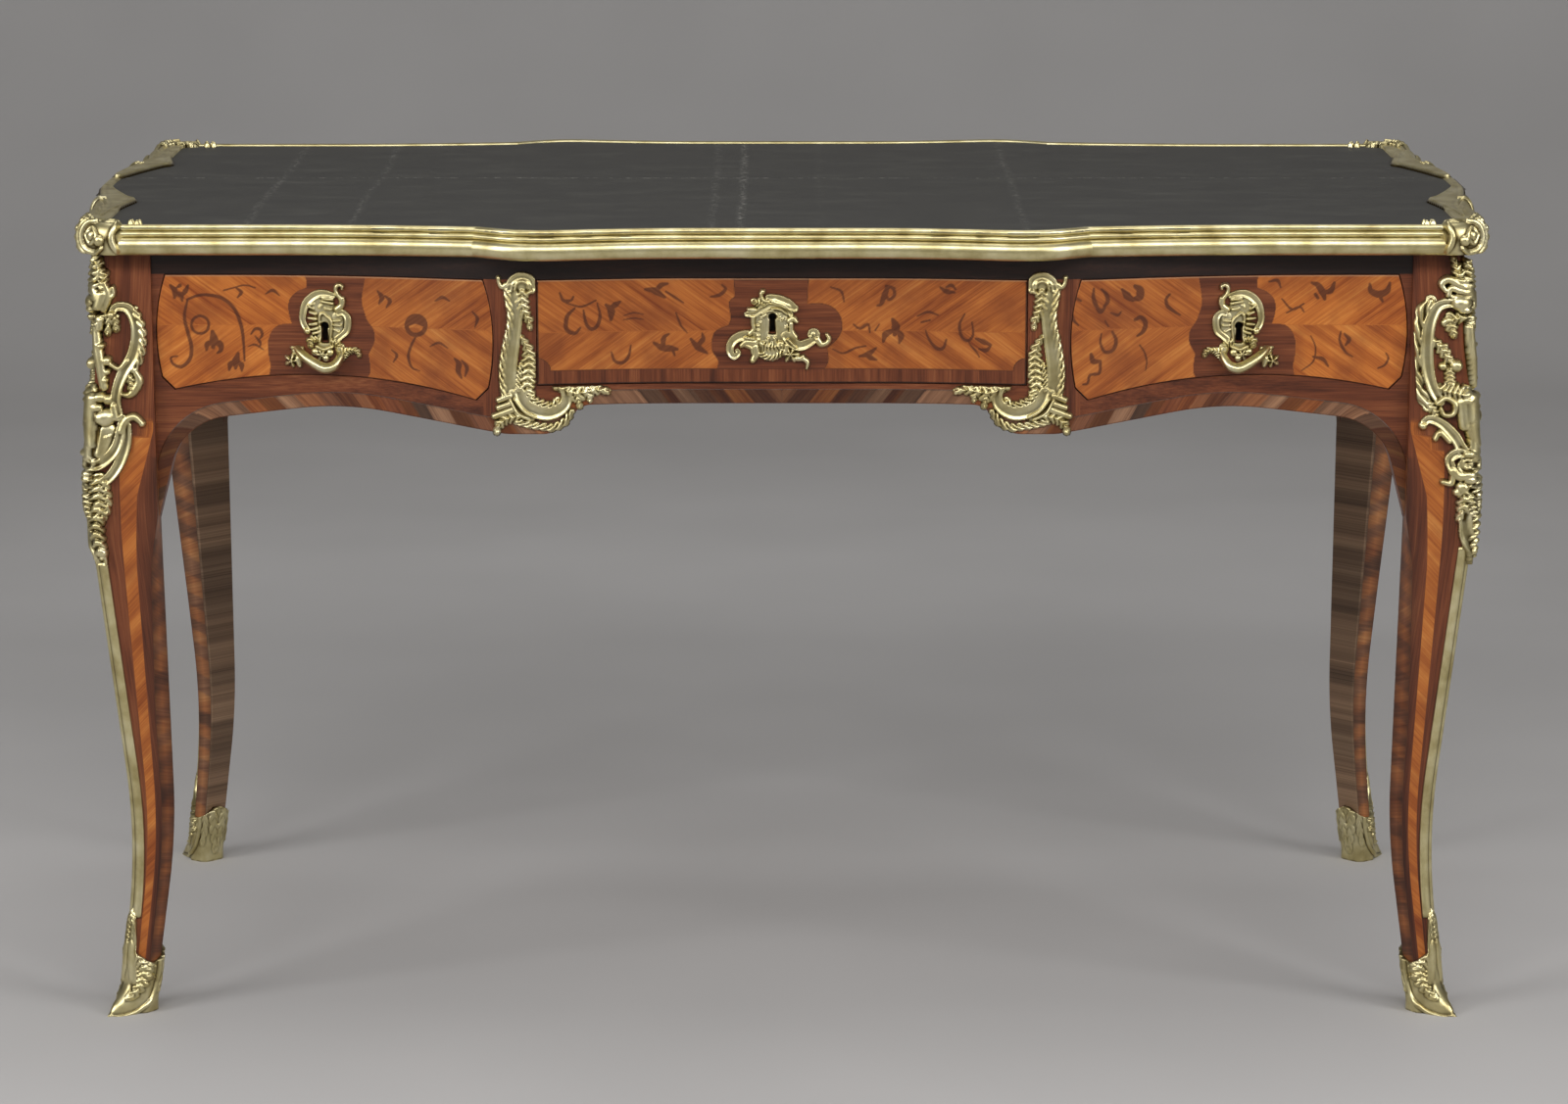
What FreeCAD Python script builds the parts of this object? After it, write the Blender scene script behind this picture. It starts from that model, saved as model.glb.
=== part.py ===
import FreeCAD, Part
import math
import os

from FreeCAD import Vector

os.makedirs("parts", exist_ok=True)

# A serpentine writing table on cabriole legs, with three drawers in its frieze, in millimetres.
# The origin is on the floor under the middle, the front faces -Y and +Z is up.
# Front and back, and left and right, have the same outline.

# The top, seen from above
height = 783.5                # floor to the upper face of the bronze edge
top_width = 1380.0            # over the bulges of the two ends
end_bulge = 22.5              # how far an end bulges past the corners
hump_depth = 762.0            # front to back over the corners that the humps round off
hump_span = 488.0             # between the two humps of one long side
hump_radius = 90.0
middle_dip = 22.0             # middle of a long side, behind its humps
middle_span = 260.0           # straight middle stretch of a long side, between its turns
middle_radius = 600.0
notch_dip = 31.0              # joints in the edge of a long side, behind its humps
notch_span = 586.0            # between those joints
corner_dip = 46.0             # corners, behind the humps
corner_radius = 38.0
flank_turn = 107.0            # from a joint to where the flank turns straight
flank_radius = 1200.0
corner_mount_reach = 62.0     # from the corner along the long side
cusp_span = 380.0             # between the cusps of one end

# The bronze edge and what it frames
edge_height = 29.0
edge_width = 16.0
edge_round = 7.0              # how far the large round of the edge stands out
edge_groove = 7.0
lip_height = 11.0
lip_inset = 5.0               # lip behind the large round
round_flats = 3               # flats that the large round is worked in
groove_rise = 1.0
mount_relief = 4.0            # how far corner mounts stand proud of the edge
scroll_plate = 3.0            # thickness of the flat scrolls on the top
scroll_reach = 19.0           # how far their tips run onto the leather
scroll_span = 180.0
leather_thickness = 2.0
leather_sink = 2.0            # leather lies this far below the edge
fit = 0.2                     # between pieces that seat in one another
arc_share = 0.97              # most of a run that the arcs at its ends may take up

# The frieze: its front line runs behind the edge
middle_overhang = 32.0
hump_overhang = 36.0
frieze_flank = 860.0          # between the points where the front turns straight
frieze_hump = 510.0           # between its two humps
frieze_flank_radius = 900.0
frieze_hump_radius = 250.0
end_bow = 12.0                # how far the end aprons bow out
board = 24.0                  # thickness of rails, stiles and aprons
rail_height = 21.5
rail_depth = 45.0
tenon_thickness = 8.0
tenon_length = 24.0
drawer_gap = 0.8              # around every drawer front

# Drawer fronts, seen from the front
front_thickness = 20.0
centre_drawer_width = 464.4
centre_drawer_height = 102.0
side_drawer_height = 97.0     # at the middle of its arched lower edge
outer_corner_drop = 15.0      # lower edge, middle to the leg side
inner_corner_drop = 20.0      # lower edge, middle to the stile side
corner_clip = 12.0
bulge_tuck = 9.0              # how far the drawer corners draw in from the bulge
stile_width = 41.0
post_margin = 4.0             # wood between the leg and a side drawer

# Lower edge of the aprons, as depths below the frieze's top
apron_middle = 142.5
apron_drop = 170.0
apron_arch = 145.5
bracket_top = 164.5
apron_foot = 267.5            # where the bracket dies into the leg
flat_span = 380.0             # straight middle stretch
drop_inner_span = 436.0       # between the inner ends of the two drops
drop_outer_span = 524.0
arch_span = 840.0             # between the tops of the two arches
bracket_width = 27.0
ogee_radius = 22.0
drop_radius = 60.0
arch_radius = 300.0
bracket_radius = 60.0
end_arch_span = 240.0         # between the tops of the arches of an end apron
end_drop = 162.5

# Drawer boxes
lining = 10.0                 # sides and back
bottom_thickness = 8.0
bottom_groove = 4.0
box_stop = 86.0               # depth of the frieze left free behind the drawer boxes
box_clearance = 3.0           # box inside its opening
runner_width = 26.0
runner_height = 18.0
partition = 20.0

# Locks
case_width = 60.0
case_thickness = 12.0
case_wall = 2.0
case_below_key = 26.0
lock_cover = 8.0              # wood in front of the case
bolt_width = 24.0
bolt_thickness = 5.0
bolt_height = 20.0
bolt_throw = 9.0
key_radius = 3.5
key_slot_width = 5.0
key_slot_length = 15.0
key_sides = 8                 # flats of the round part of a keyhole
side_key_drop = 70.5          # below the frieze's top
centre_key_x = -9.0
centre_key_drop = 59.0

# Legs: the arris is the outer corner
leg_inset_x = 17.0            # arris behind the top's corner
leg_inset_y = 30.0
post_width = 48.5
face_setback = 2.0            # frieze behind the arris
arris_flat = 8.0
inner_chamfer = 0.45          # share of the leg's width that its inner corner loses
face_share = 0.72             # share of the free leg's width that its front face keeps
return_share = 0.38           # how far back its return face runs, as a share of that width
foot_height = 10.0            # the wood stops short of the floor inside the sabot
foot_lean = -9.0              # leans move the arris out, towards the end and towards the front alike
foot_width = 30.0
ankle_height = 175.0
ankle_lean = -23.5
ankle_width = 36.0
ankle_radius = 700.0
knee_drop = 249.5             # below the frieze's top
knee_lean = 14.0
knee_width = 65.0
knee_radius = 600.0

# Bronze on the legs and the frieze
skin_gap = 0.3
chute_relief = 6.0
chute_length = 295.0
chute_top_gap = 5.5
# inner edge of a chute, inward from the arris and down from its top: flame leaf, scroll, flowers, bowl and tail
chute_edge = [(9, 0), (12, 49), (44, 57), (44, 105), (16, 133), (30, 185), (12, 245), (9, chute_length)]
chute_radii = [0, 0, 24, 0, 0, 0]
chute_window = [(18, 69), (31, 75), (32, 97), (18, 117)]
fillet_relief = 2.5
sabot_wall = 3.0
sabot_height = 66.0
tendril_height = 108.0
tendril_reach = 19.0          # how far in from the foot's arris its tip stands
toe_reach = 17.0
toe_height = 16.0
plate_relief = 5.0            # escutcheons
# outlines of the escutcheons: along and up from the keyhole, and how far each corner is rounded
side_cartouche = [(6, 42, 0), (20, 28, 0), (12, 10, 0), (22, -12, 0), (4, -40, 0), (-18, -26, 0), (-26, 4, 10),
                  (-18, 32, 0)]
centre_cartouche = [(-6, 27, 0), (28, 20, 0), (20, 0, 0), (56, -18, 0), (24, -38, 12), (-44, -30, 0), (-24, 0, 0),
                    (-28, 20, 0)]
channel_relief = 8.0          # angle mounts
pull_radius = 3.2             # half the thickness of the bow
petals = 8
pull_flats = 8
pull_bow = 15.0
pull_span = 66.0
pull_sag = 9.0
pull_drop = 39.0              # below the keyhole
rosette_radius = 8.5
rosette_height = 5.0

# Worked out from the sizes above
corner_x = top_width / 2 - end_bulge
corner_y = hump_depth / 2 - corner_dip
notch_y = hump_depth / 2 - notch_dip
middle_y = hump_depth / 2 - middle_dip
flank_end = corner_x - corner_mount_reach
notch_x = notch_span / 2
cusp_y = cusp_span / 2
frieze_top = height - edge_height
panel_top = height - leather_sink - leather_thickness
drawer_top = frieze_top - rail_height
arris_x = corner_x - leg_inset_x
arris_y = corner_y - leg_inset_y
post_x = arris_x - post_width
post_y = arris_y - post_width
frieze_end = arris_y - face_setback
box_length = 2 * frieze_end - box_stop
centre_half = centre_drawer_width / 2
stile_inner = centre_half + drawer_gap
inner_bulge = stile_inner + stile_width
outer_bulge = post_x - post_margin
stile_outer = inner_bulge + bulge_tuck + drawer_gap
side_key_x = (inner_bulge + outer_bulge) / 2
side_bottom = drawer_top - side_drawer_height
centre_bottom = drawer_top - centre_drawer_height
front_top = drawer_top - drawer_gap
apron_low = frieze_top - apron_foot
side_key_z = frieze_top - side_key_drop
centre_key_z = frieze_top - centre_key_drop
reach = top_width             # longer than anything that is cut
up = Vector(0, 0, 1)
diagonal = 0.5 ** 0.5


def block(x, y, z):
    return Part.makeBox(x[1] - x[0], y[1] - y[0], z[1] - z[0], Vector(x[0], y[0], z[0]))


def slab(low, high):
    return block((-reach, reach), (-reach, reach), (low, high))


def line(a, b):
    return Part.LineSegment(a, b).toShape()


def arc(a, b, c):
    return Part.Arc(a, b, c).toShape()


def polygon(points):
    return [line(a, b) for a, b in zip(points, points[1:] + points[:1])]


def tangents(points, radii):
    # how far each arc runs back from its corner, less where the arcs of one run would meet
    wanted = [0.0]
    for before, corner, after, radius in zip(points, points[1:], points[2:], radii):
        wanted.append(radius / math.tan((before - corner).getAngle(after - corner) / 2))
    wanted.append(0.0)
    room = [arc_share * (b - a).Length / max(s + t, fit) for a, b, s, t in zip(points, points[1:], wanted, wanted[1:])]
    return [length * min(1.0, before, after) for length, before, after in zip(wanted[1:], room, room[1:])]


def rounded(points, radii):
    # straight runs between the points, with an arc of the given radius at every inner point, 0 for a sharp one
    edges = []
    start = points[0]
    for before, corner, after, tangent in zip(points, points[1:], points[2:], tangents(points, radii)):
        if tangent == 0:
            edges.append(line(start, corner))
            start = corner
            continue
        u = (before - corner).normalize()
        v = (after - corner).normalize()
        half = u.getAngle(v) / 2
        radius = tangent * math.tan(half)
        middle = corner + (u + v).normalize() * (radius / math.sin(half) - radius)
        edges.append(line(start, corner + u * tangent))
        start = corner + v * tangent
        edges.append(arc(corner + u * tangent, middle, start))
    return edges + [line(start, points[-1])]


def face_of(edges):
    return Part.Face(Part.Wire(Part.__sortEdges__(edges)))


def mirror_x(shape):
    return shape.mirror(Vector(), Vector(1, 0, 0))


def mirror_y(shape):
    return shape.mirror(Vector(), Vector(0, 1, 0))


def pair(shape):
    return [shape, mirror_x(shape)]


def turned(shape):
    half_turn = shape.copy()
    half_turn.rotate(Vector(), up, 180)
    return half_turn


def fused(shapes):
    return shapes[0].fuse(shapes[1:]).removeSplitter()


def save(name, shape):
    shape.exportStep("parts/" + name + ".step")


def save_corners(name, front_shape, back_shape):
    # the front right piece, mirrored to the other corners
    pieces = pair(front_shape) + [mirror_y(s) for s in pair(back_shape)]
    for place, piece in zip(["front_right", "front_left", "back_right", "back_left"], pieces):
        save(place + "_" + name, piece)


# Outline of the top, at the underside of its edge

def on_top(x, y):
    return Vector(x, y, frieze_top)


def centre_points():
    hump = on_top(hump_span / 2, -hump_depth / 2)
    right = [on_top(middle_span / 2, -middle_y), hump, on_top(notch_x, -notch_y)]
    return [Vector(-p.x, p.y, p.z) for p in reversed(right)] + right


def centre_path(points):
    return rounded(points, [hump_radius, middle_radius, middle_radius, hump_radius])


def flank_points():
    return [
        on_top(notch_x, -notch_y), on_top(notch_x + flank_turn, -corner_y), on_top(flank_end, -corner_y),
    ]


def corner_path():
    points = [on_top(flank_end, -corner_y), on_top(corner_x, -corner_y), on_top(corner_x, -cusp_y)]
    return rounded(points, [corner_radius])


def end_path():
    return arc(on_top(corner_x, -cusp_y), on_top(top_width / 2, 0), on_top(corner_x, cusp_y))


def top_outline():
    half = centre_path(centre_points()) + [end_path()]
    for edge in rounded(flank_points(), [flank_radius]) + corner_path():
        half += pair(edge)
    return Part.Wire(Part.__sortEdges__([e for edge in half for e in (edge, turned(edge))]))


# Bronze edge

def edge_profile():
    # a large round worked in flats, a groove and a square lip; n runs inward, h up from the underside
    shoulder = edge_height - lip_height - groove_rise
    outline = [(edge_width, 0)]
    for step in range(round_flats + 1):
        angle = math.pi * step / round_flats
        outline.append((edge_round * (1 - math.sin(angle)), shoulder * (1 - math.cos(angle)) / 2))
    low = edge_height - lip_height
    return outline + [(edge_groove, low), (lip_inset, low), (lip_inset, edge_height), (edge_width, edge_height)]


def mount_profile():
    # the shell's section, proud of the edge's round and of its lip
    belly = edge_height - lip_height - groove_rise
    lip = lip_inset - mount_relief
    top = edge_height + mount_relief / 2
    outer = [(-mount_relief, 0), (-mount_relief, belly), (lip, belly), (lip, top)]
    return [(edge_width, 0)] + outer + [(edge_width, top)]


def carried(outline, path):
    # a section along straight and round stretches that run on from one another
    first = path[0]
    start = first.valueAt(first.FirstParameter)
    inward = up.cross(first.tangentAt(first.FirstParameter))
    section = face_of(polygon([start + inward * n + up * h for n, h in outline]))
    lengths = []
    for edge in path:
        if isinstance(edge.Curve, Part.Circle):
            turn = math.degrees(edge.Length / edge.Curve.Radius)
            centre = edge.Curve.Center
            axis = edge.Curve.Axis
            lengths.append(section.revolve(centre, axis, turn))
            section = section.copy()
            section.rotate(centre, axis, turn)
        else:
            run = edge.valueAt(edge.LastParameter) - edge.valueAt(edge.FirstParameter)
            lengths.append(section.extrude(run))
            section = section.translated(run)
    return fused(lengths)


def run_on(points):
    # the same points with both ends carried on, so that the ends can be cut square
    first = points[0] + (points[0] - points[1]).normalize() * edge_width
    last = points[-1] + (points[-1] - points[-2]).normalize() * edge_width
    return [first] + points[1:-1] + [last]


def centre_edge():
    whole = carried(edge_profile(), centre_path(run_on(centre_points())))
    return whole.common(block((-notch_x, notch_x), (-reach, 0), (0, reach)))


def flank_edge():
    whole = carried(edge_profile(), rounded(run_on(flank_points()), [flank_radius]))
    return whole.common(block((notch_x, flank_end), (-reach, 0), (0, reach)))


def end_edge():
    curve = end_path()
    ends = [curve.valueAt(p) for p in (curve.FirstParameter, curve.LastParameter)]
    leads = [curve.tangentAt(p) * edge_width for p in (curve.FirstParameter, curve.LastParameter)]
    path = [line(ends[0] - leads[0], ends[0]), curve, line(ends[1], ends[1] + leads[1])]
    return carried(edge_profile(), path).common(block((0, reach), (-cusp_y, cusp_y), (0, reach)))


def corner_mount():
    # shell on the corner, a length along the end and a flat scroll that points onto the leather
    shell = carried(mount_profile(), corner_path())
    outer = corner_x - edge_round
    inner = corner_x - edge_width
    half = scroll_span / 2

    def at(x, y):
        return Vector(x, y - cusp_y, panel_top)

    tip = at(inner - scroll_reach, half / 3)
    scroll = face_of([
        arc(at(outer, -half), at(inner, -half / 3), tip),
        line(tip, at(outer, half)),
        line(at(outer, half), at(outer, -half)),
    ])
    return fused([shell, scroll.extrude(up * (height + scroll_plate - panel_top))])


# Frieze

def frieze_path(depth, z):
    # outer face of the front, moved back by depth
    end = depth - frieze_end
    right = [
        Vector(middle_span / 2, depth - middle_y + middle_overhang, z),
        Vector(frieze_hump / 2, depth - hump_depth / 2 + hump_overhang, z),
        Vector(frieze_flank / 2, end, z),
        Vector(post_x, end, z),
    ]
    left = [Vector(-p.x, p.y, p.z) for p in reversed(right)]
    radii = [middle_radius, frieze_hump_radius, frieze_flank_radius]
    return rounded(left + right, radii[::-1] + radii)


def front_face_y(x):
    wire = Part.Wire(frieze_path(0, 0))
    return wire.distToShape(line(Vector(x, -reach, 0), Vector(x, 0, 0)))[1][0][0].y


def front_layer(outer, inner, low, high):
    # solid between two depths behind the frieze's outer face
    near = frieze_path(outer, low)
    far = frieze_path(inner, low)
    ends = [line(Vector(s * post_x, outer - frieze_end, low), Vector(s * post_x, inner - frieze_end, low))
            for s in (-1, 1)]
    return face_of(near + far + ends).extrude(up * (high - low))


def end_layer():
    # the right end apron before its lower edge is cut
    x = arris_x - face_setback

    def bow(rim):
        return arc(Vector(rim, -post_y, apron_low), Vector(rim + end_bow, 0, apron_low), Vector(rim, post_y, apron_low))

    ends = [line(Vector(x, s * post_y, apron_low), Vector(x - board, s * post_y, apron_low)) for s in (-1, 1)]
    return face_of([bow(x), bow(x - board)] + ends).extrude(up * apron_foot)


def room_behind(depth):
    # everything between the front and the back boards
    near = frieze_path(depth, apron_low)
    far = [turned(edge) for edge in near]
    y = depth - frieze_end
    ends = [line(Vector(s * post_x, y, apron_low), Vector(s * post_x, -y, apron_low)) for s in (-1, 1)]
    return face_of(near + far + ends).extrude(up * apron_foot)


def through_front(edges):
    # outline in the plane y = -reach, carried to the middle of the table
    return face_of(edges).extrude(Vector(0, reach, 0))


def at_front(x, z):
    return Vector(x, -reach, z)


def below_top(depths):
    return [frieze_top - d for d in depths]


def apron_outline():
    # lower edge with its flat middle, drops, arches and leg brackets
    flat, drop, arch, bracket, foot = below_top([apron_middle, apron_drop, apron_arch, bracket_top, apron_foot])
    right = [
        at_front(flat_span / 2, flat), at_front(drop_inner_span / 2, drop), at_front(drop_outer_span / 2, drop),
        at_front(arch_span / 2, arch), at_front(post_x - bracket_width, bracket), at_front(post_x, foot),
    ]
    left = [Vector(-p.x, p.y, p.z) for p in reversed(right)]
    radii = [ogee_radius, ogee_radius, drop_radius, arch_radius, bracket_radius]
    lower = rounded(left + right, radii[::-1] + radii)
    corners = [right[-1], at_front(post_x, frieze_top), at_front(-post_x, frieze_top), left[0]]
    return lower + [line(a, b) for a, b in zip(corners, corners[1:])]


def end_apron_outline():
    # seen along X: a drop in the middle between two arches
    drop, arch, bracket, foot = below_top([end_drop, apron_arch, bracket_top, apron_foot])
    right = [
        Vector(0, end_arch_span / 2, arch), Vector(0, post_y - bracket_width, bracket), Vector(0, post_y, foot),
    ]
    left = [Vector(0, -p.y, p.z) for p in reversed(right)]
    radii = [drop_radius, bracket_radius]
    lower = rounded(left + [Vector(0, 0, drop)] + right, radii[::-1] + [arch_radius] + radii)
    corners = [right[-1], Vector(0, post_y, frieze_top), Vector(0, -post_y, frieze_top), left[0]]
    return lower + [line(a, b) for a, b in zip(corners, corners[1:])]


def side_drawer_outline(gap):
    # straight top, bulged ends, clipped lower corners and an arched lower edge; gap grows it
    top = front_top + gap
    outer = outer_bulge - drawer_gap + gap
    inner = inner_bulge + drawer_gap - gap
    low = side_bottom + drawer_gap - gap
    middle = (top + low) / 2
    tuck = bulge_tuck / 2
    outer_clip = at_front(outer - tuck, low - outer_corner_drop + corner_clip)
    outer_foot = at_front(outer - tuck - corner_clip, low - outer_corner_drop)
    inner_clip = at_front(inner + tuck, low - inner_corner_drop + corner_clip)
    inner_foot = at_front(inner + tuck + corner_clip, low - inner_corner_drop)
    corners = [at_front(inner + bulge_tuck, top), at_front(outer - bulge_tuck, top)]
    return [
        line(corners[0], corners[1]),
        arc(corners[1], at_front(outer, middle), outer_clip),
        line(outer_clip, outer_foot),
        arc(outer_foot, at_front((inner + outer) / 2, low), inner_foot),
        line(inner_foot, inner_clip),
        arc(inner_clip, at_front(inner, middle), corners[0]),
    ]


def centre_drawer_outline(gap):
    x = centre_half + gap
    low = centre_bottom + drawer_gap - gap
    top = front_top + gap
    return polygon([at_front(-x, low), at_front(x, low), at_front(x, top), at_front(-x, top)])


def front_tenon(z, grow):
    # into the front right leg, along X
    middle = board / 2 - frieze_end
    half = tenon_thickness / 2 + grow
    return block((post_x - board, post_x + tenon_length + grow), (middle - half, middle + half),
                 (z[0] - grow, z[1] + grow))


def end_tenon(z, grow):
    # into the front right leg, along Y
    middle = arris_x - face_setback - board / 2
    half = tenon_thickness / 2 + grow
    return block((middle - half, middle + half), (-post_y - tenon_length - grow, board - post_y),
                 (z[0] - grow, z[1] + grow))


rail_tenon = (drawer_top + rail_height / 4, frieze_top - rail_height / 4)
apron_tenon = (frieze_top - bracket_top, side_bottom - outer_corner_drop - drawer_gap)
tall_tenon = (frieze_top - bracket_top, frieze_top - rail_height / 2)


# Legs and what is fitted on them

def leg_stations():
    # height, lean of the arris and width of the leg
    return [
        (foot_height, foot_lean, foot_width),
        (ankle_height, ankle_lean, ankle_width),
        (frieze_top - knee_drop, knee_lean, knee_width),
        (frieze_top, 0.0, post_width),
    ]


def cabriole(points):
    # straight from foot to ankle, knee and top, turning in large arcs
    return rounded(points, [ankle_radius, knee_radius])


def arris_plan(z, lean):
    return Vector(arris_x + lean, -arris_y - lean, z)


def swapped(shape):
    # mirrored in the leg's diagonal, which swaps what faces the front with what faces the end
    return shape.mirror(Vector(arris_x, -arris_y, 0), Vector(1, 1, 0))


def beyond(nu, nv, offsets):
    # all that lies further in than the offsets; (nu, nv) points inward from the arris along X and along Y
    normal = Vector(-nu, nv, 0)
    along = Vector(nv, nu, 0) * reach

    def at(d, z):
        return Vector(arris_x, -arris_y, z) + normal * d - along / 2

    near = [at(d - (nu + nv) * lean, z) for (z, lean, w), d in zip(leg_stations(), offsets)]
    near[0] += (near[0] - near[1]).normalize() * 2 * foot_height
    far = [at(reach / 4, near[-1].z), at(reach / 4, near[0].z)]
    sides = [line(near[-1], far[0]), line(far[0], far[1]), line(far[1], near[0])]
    return face_of(cabriole(near) + sides).extrude(along)


def planed(blank, grow):
    # the inner corner taken off and, below the frieze, the two return faces
    widths = [w for z, lean, w in leg_stations()]
    blank = blank.cut(beyond(diagonal, diagonal, [(2 - inner_chamfer) * diagonal * w + grow for w in widths]))
    slope = math.hypot(return_share, 1 - face_share)
    nu = return_share / slope
    nv = (face_share - 1) / slope
    away = beyond(nu, nv, [nu * face_share * w + grow for w in widths]).common(slab(-height, apron_low))
    return blank.cut(away).cut(swapped(away))


def sawn(grow):
    # side view of the leg, carried right through from the front
    outer = [at_front(arris_x + lean + grow, z) for z, lean, w in leg_stations()]
    inner = [at_front(arris_x + lean - w - grow, z) for z, lean, w in leg_stations()]
    ends = [line(outer[0], inner[0]), line(outer[-1], inner[-1])]
    return face_of(cabriole(outer) + cabriole(inner) + ends).extrude(Vector(0, 2 * reach, 0))


def leg_form(grow):
    # sawn from the front and from the end, planed, with a flat along the arris
    view = sawn(grow)
    flat = beyond(diagonal, diagonal, [arris_flat / 2 - grow for s in leg_stations()])
    return planed(view.common(swapped(view)), grow).common(flat)


def leg(mortises):
    wood = leg_form(0)
    for mortise in mortises:
        wood = wood.cut(mortise)
    return wood


def front_half():
    # the side of the leg's diagonal that faces the front
    corners = [Vector(arris_x + s * reach, -arris_y - s * reach, 0) for s in (1, -1)]
    return face_of(polygon(corners + [Vector(corners[1].x, corners[0].y, 0)])).extrude(up * height)


def chute():
    # cast mount on the knee, seen from the front, with an open scroll where the veneer shows
    top = frieze_top - chute_top_gap

    def at(u, d):
        return at_front(arris_x + (frieze_top - top + d) * knee_lean / knee_drop - u, top - d)

    inner = [at(u, d) for u, d in chute_edge]
    out = [at(-knee_lean, chute_length), at(-knee_lean, 0)]
    edges = rounded(inner, chute_radii) + [line(a, b) for a, b in zip([inner[-1]] + out, out + [inner[0]])]
    window = face_of(polygon([at(u, d) for u, d in chute_window])).extrude(Vector(0, reach, 0))
    near = block((-reach, reach), (-reach, arris_flat - arris_y), (0, height))
    wing = leg_form(chute_relief).cut(leg_form(skin_gap)).common(front_half()).common(near)
    wing = wing.common(through_front(edges)).cut(window)
    return fused([wing, swapped(wing)])


def fillet_strip():
    # bronze on the arris flat between the chute and the sabot
    low = tendril_height + fit
    high = frieze_top - chute_top_gap - chute_length - fit
    depths = (arris_flat / 2 - fillet_relief, arris_flat / 2 - skin_gap)
    near, far = [beyond(diagonal, diagonal, [d for s in leg_stations()]) for d in depths]
    half = arris_flat * diagonal / 2
    band = face_of(polygon([
        Vector(arris_x + s * half + t * reach, -arris_y + s * half - t * reach, 0)
        for s, t in ((-1, -1), (1, -1), (1, 1), (-1, 1))
    ])).extrude(up * height)
    return near.cut(far).common(slab(low, high)).common(band)


def sabot():
    # cast cup with a scrolled toe, its rim rising to a tendril on the arris
    shin = (ankle_lean - foot_lean) / (ankle_height - foot_height)

    def out(more, z):
        return at_front(arris_x + foot_lean + shin * (z - foot_height) + more, z)

    outer = [out(toe_reach - sabot_wall, 0), out(toe_reach, toe_height), out(sabot_wall, 2 * toe_height),
             out(sabot_wall, ankle_height)]
    inner = [out(-foot_width - sabot_wall, 0), out(-ankle_width - sabot_wall, ankle_height)]
    ends = [line(outer[0], inner[0]), line(outer[-1], inner[-1]), line(inner[0], inner[1])]
    view = face_of(rounded(outer, [toe_height / 2, 0]) + ends).extrude(Vector(0, 2 * reach, 0))

    def rim(d, z):
        side = Vector(diagonal, diagonal, 0) * reach / 2
        return arris_plan(z, foot_lean) + Vector(-diagonal, diagonal, 0) * d - side

    above = face_of(polygon([
        rim(-foot_width, tendril_height), rim(tendril_reach, tendril_height), rim(foot_width, sabot_height),
        rim(reach / 4, sabot_height), rim(reach / 4, height), rim(-foot_width, height),
    ])).extrude(Vector(diagonal, diagonal, 0) * reach)
    return planed(view.common(swapped(view)), sabot_wall).cut(leg_form(skin_gap)).cut(above)


# Pieces of the front

def on_face(edges, relief):
    # relief that lies on the curved front
    return front_layer(-relief, -skin_gap / 3, apron_low, frieze_top).common(through_front(edges))


def ring(place, radius, sides):
    # even-sided outline in a plane that faces the front
    turns = [math.pi * (2 * step + 1) / sides for step in range(sides)]
    return face_of(polygon([place + Vector(math.cos(t), 0, math.sin(t)) * radius for t in turns]))


def keyhole(x, z):
    # through the front and the near wall of the lock
    head = ring(at_front(x, z), key_radius, key_sides).extrude(Vector(0, reach, 0))
    half = key_slot_width / 2
    slot = block((x - half, x + half), (-reach, 0), (z - key_slot_length, z))
    near = block((-reach, reach), (-reach, lock_face(x) + case_wall), (0, height))
    return head.fuse(slot).common(near)


def lock_face(key_x):
    # the lock stands square to the front, under this much wood
    return front_face_y(key_x) + lock_cover


def lock_block(key_x, key_z, inset, thickness):
    half = case_width / 2 - inset
    y = lock_face(key_x) + inset
    return block((key_x - half, key_x + half), (y, y + thickness - 2 * inset),
                 (key_z - case_below_key + inset, front_top - inset))


def bolt_block(key_x, grow, rise):
    half = bolt_width / 2 + grow
    middle = lock_face(key_x) + case_thickness / 2
    depth = bolt_thickness / 2 + grow
    return block((key_x - half, key_x + half), (middle - depth, middle + depth),
                 (front_top - bolt_height - grow, front_top + rise))


def lock_case(key_x, key_z):
    # hollow case with a slot for the bolt
    case = lock_block(key_x, key_z, 0, case_thickness).cut(lock_block(key_x, key_z, case_wall, case_thickness))
    return case.cut(bolt_block(key_x, fit, case_wall)).cut(keyhole(key_x, key_z))


def drawer_front(outline, key_x, key_z):
    front = front_layer(0, front_thickness, apron_low, frieze_top).common(through_front(outline))
    pocket = lock_block(key_x, key_z, 0, case_thickness + front_thickness)
    return front.cut(pocket).cut(keyhole(key_x, key_z))


def drawer_box(x, low):
    # two sides with a groove for the bottom, a back between them and the bottom
    top = drawer_top - box_clearance
    y = (-reach, front_face_y(sum(x) / 2) + box_length)
    room = room_behind(front_thickness)
    floor_z = (low + bottom_groove, low + bottom_groove + bottom_thickness)
    inner = (x[0] + lining - bottom_groove, x[1] - lining + bottom_groove)
    floor = block(inner, y, floor_z)
    walls = [block((x[0], x[0] + lining), y, (low, top)), block((x[1] - lining, x[1]), y, (low, top))]
    sides = [wall.cut(floor).common(room) for wall in walls]
    back = block((x[0] + lining, x[1] - lining), (y[1] - lining, y[1]), (floor_z[1], top))
    return Part.Compound(sides + [back]), floor.common(room)


def side_box_x():
    return (inner_bulge + bulge_tuck + box_clearance, outer_bulge - bulge_tuck - box_clearance)


def centre_box_x():
    return (box_clearance - centre_half, centre_half - box_clearance)


def rosette(place):
    # flower with a flat for each petal
    depth = Vector(0, rosette_height, 0)
    return ring(place - depth, rosette_radius, petals).extrude(2 * depth)


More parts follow.
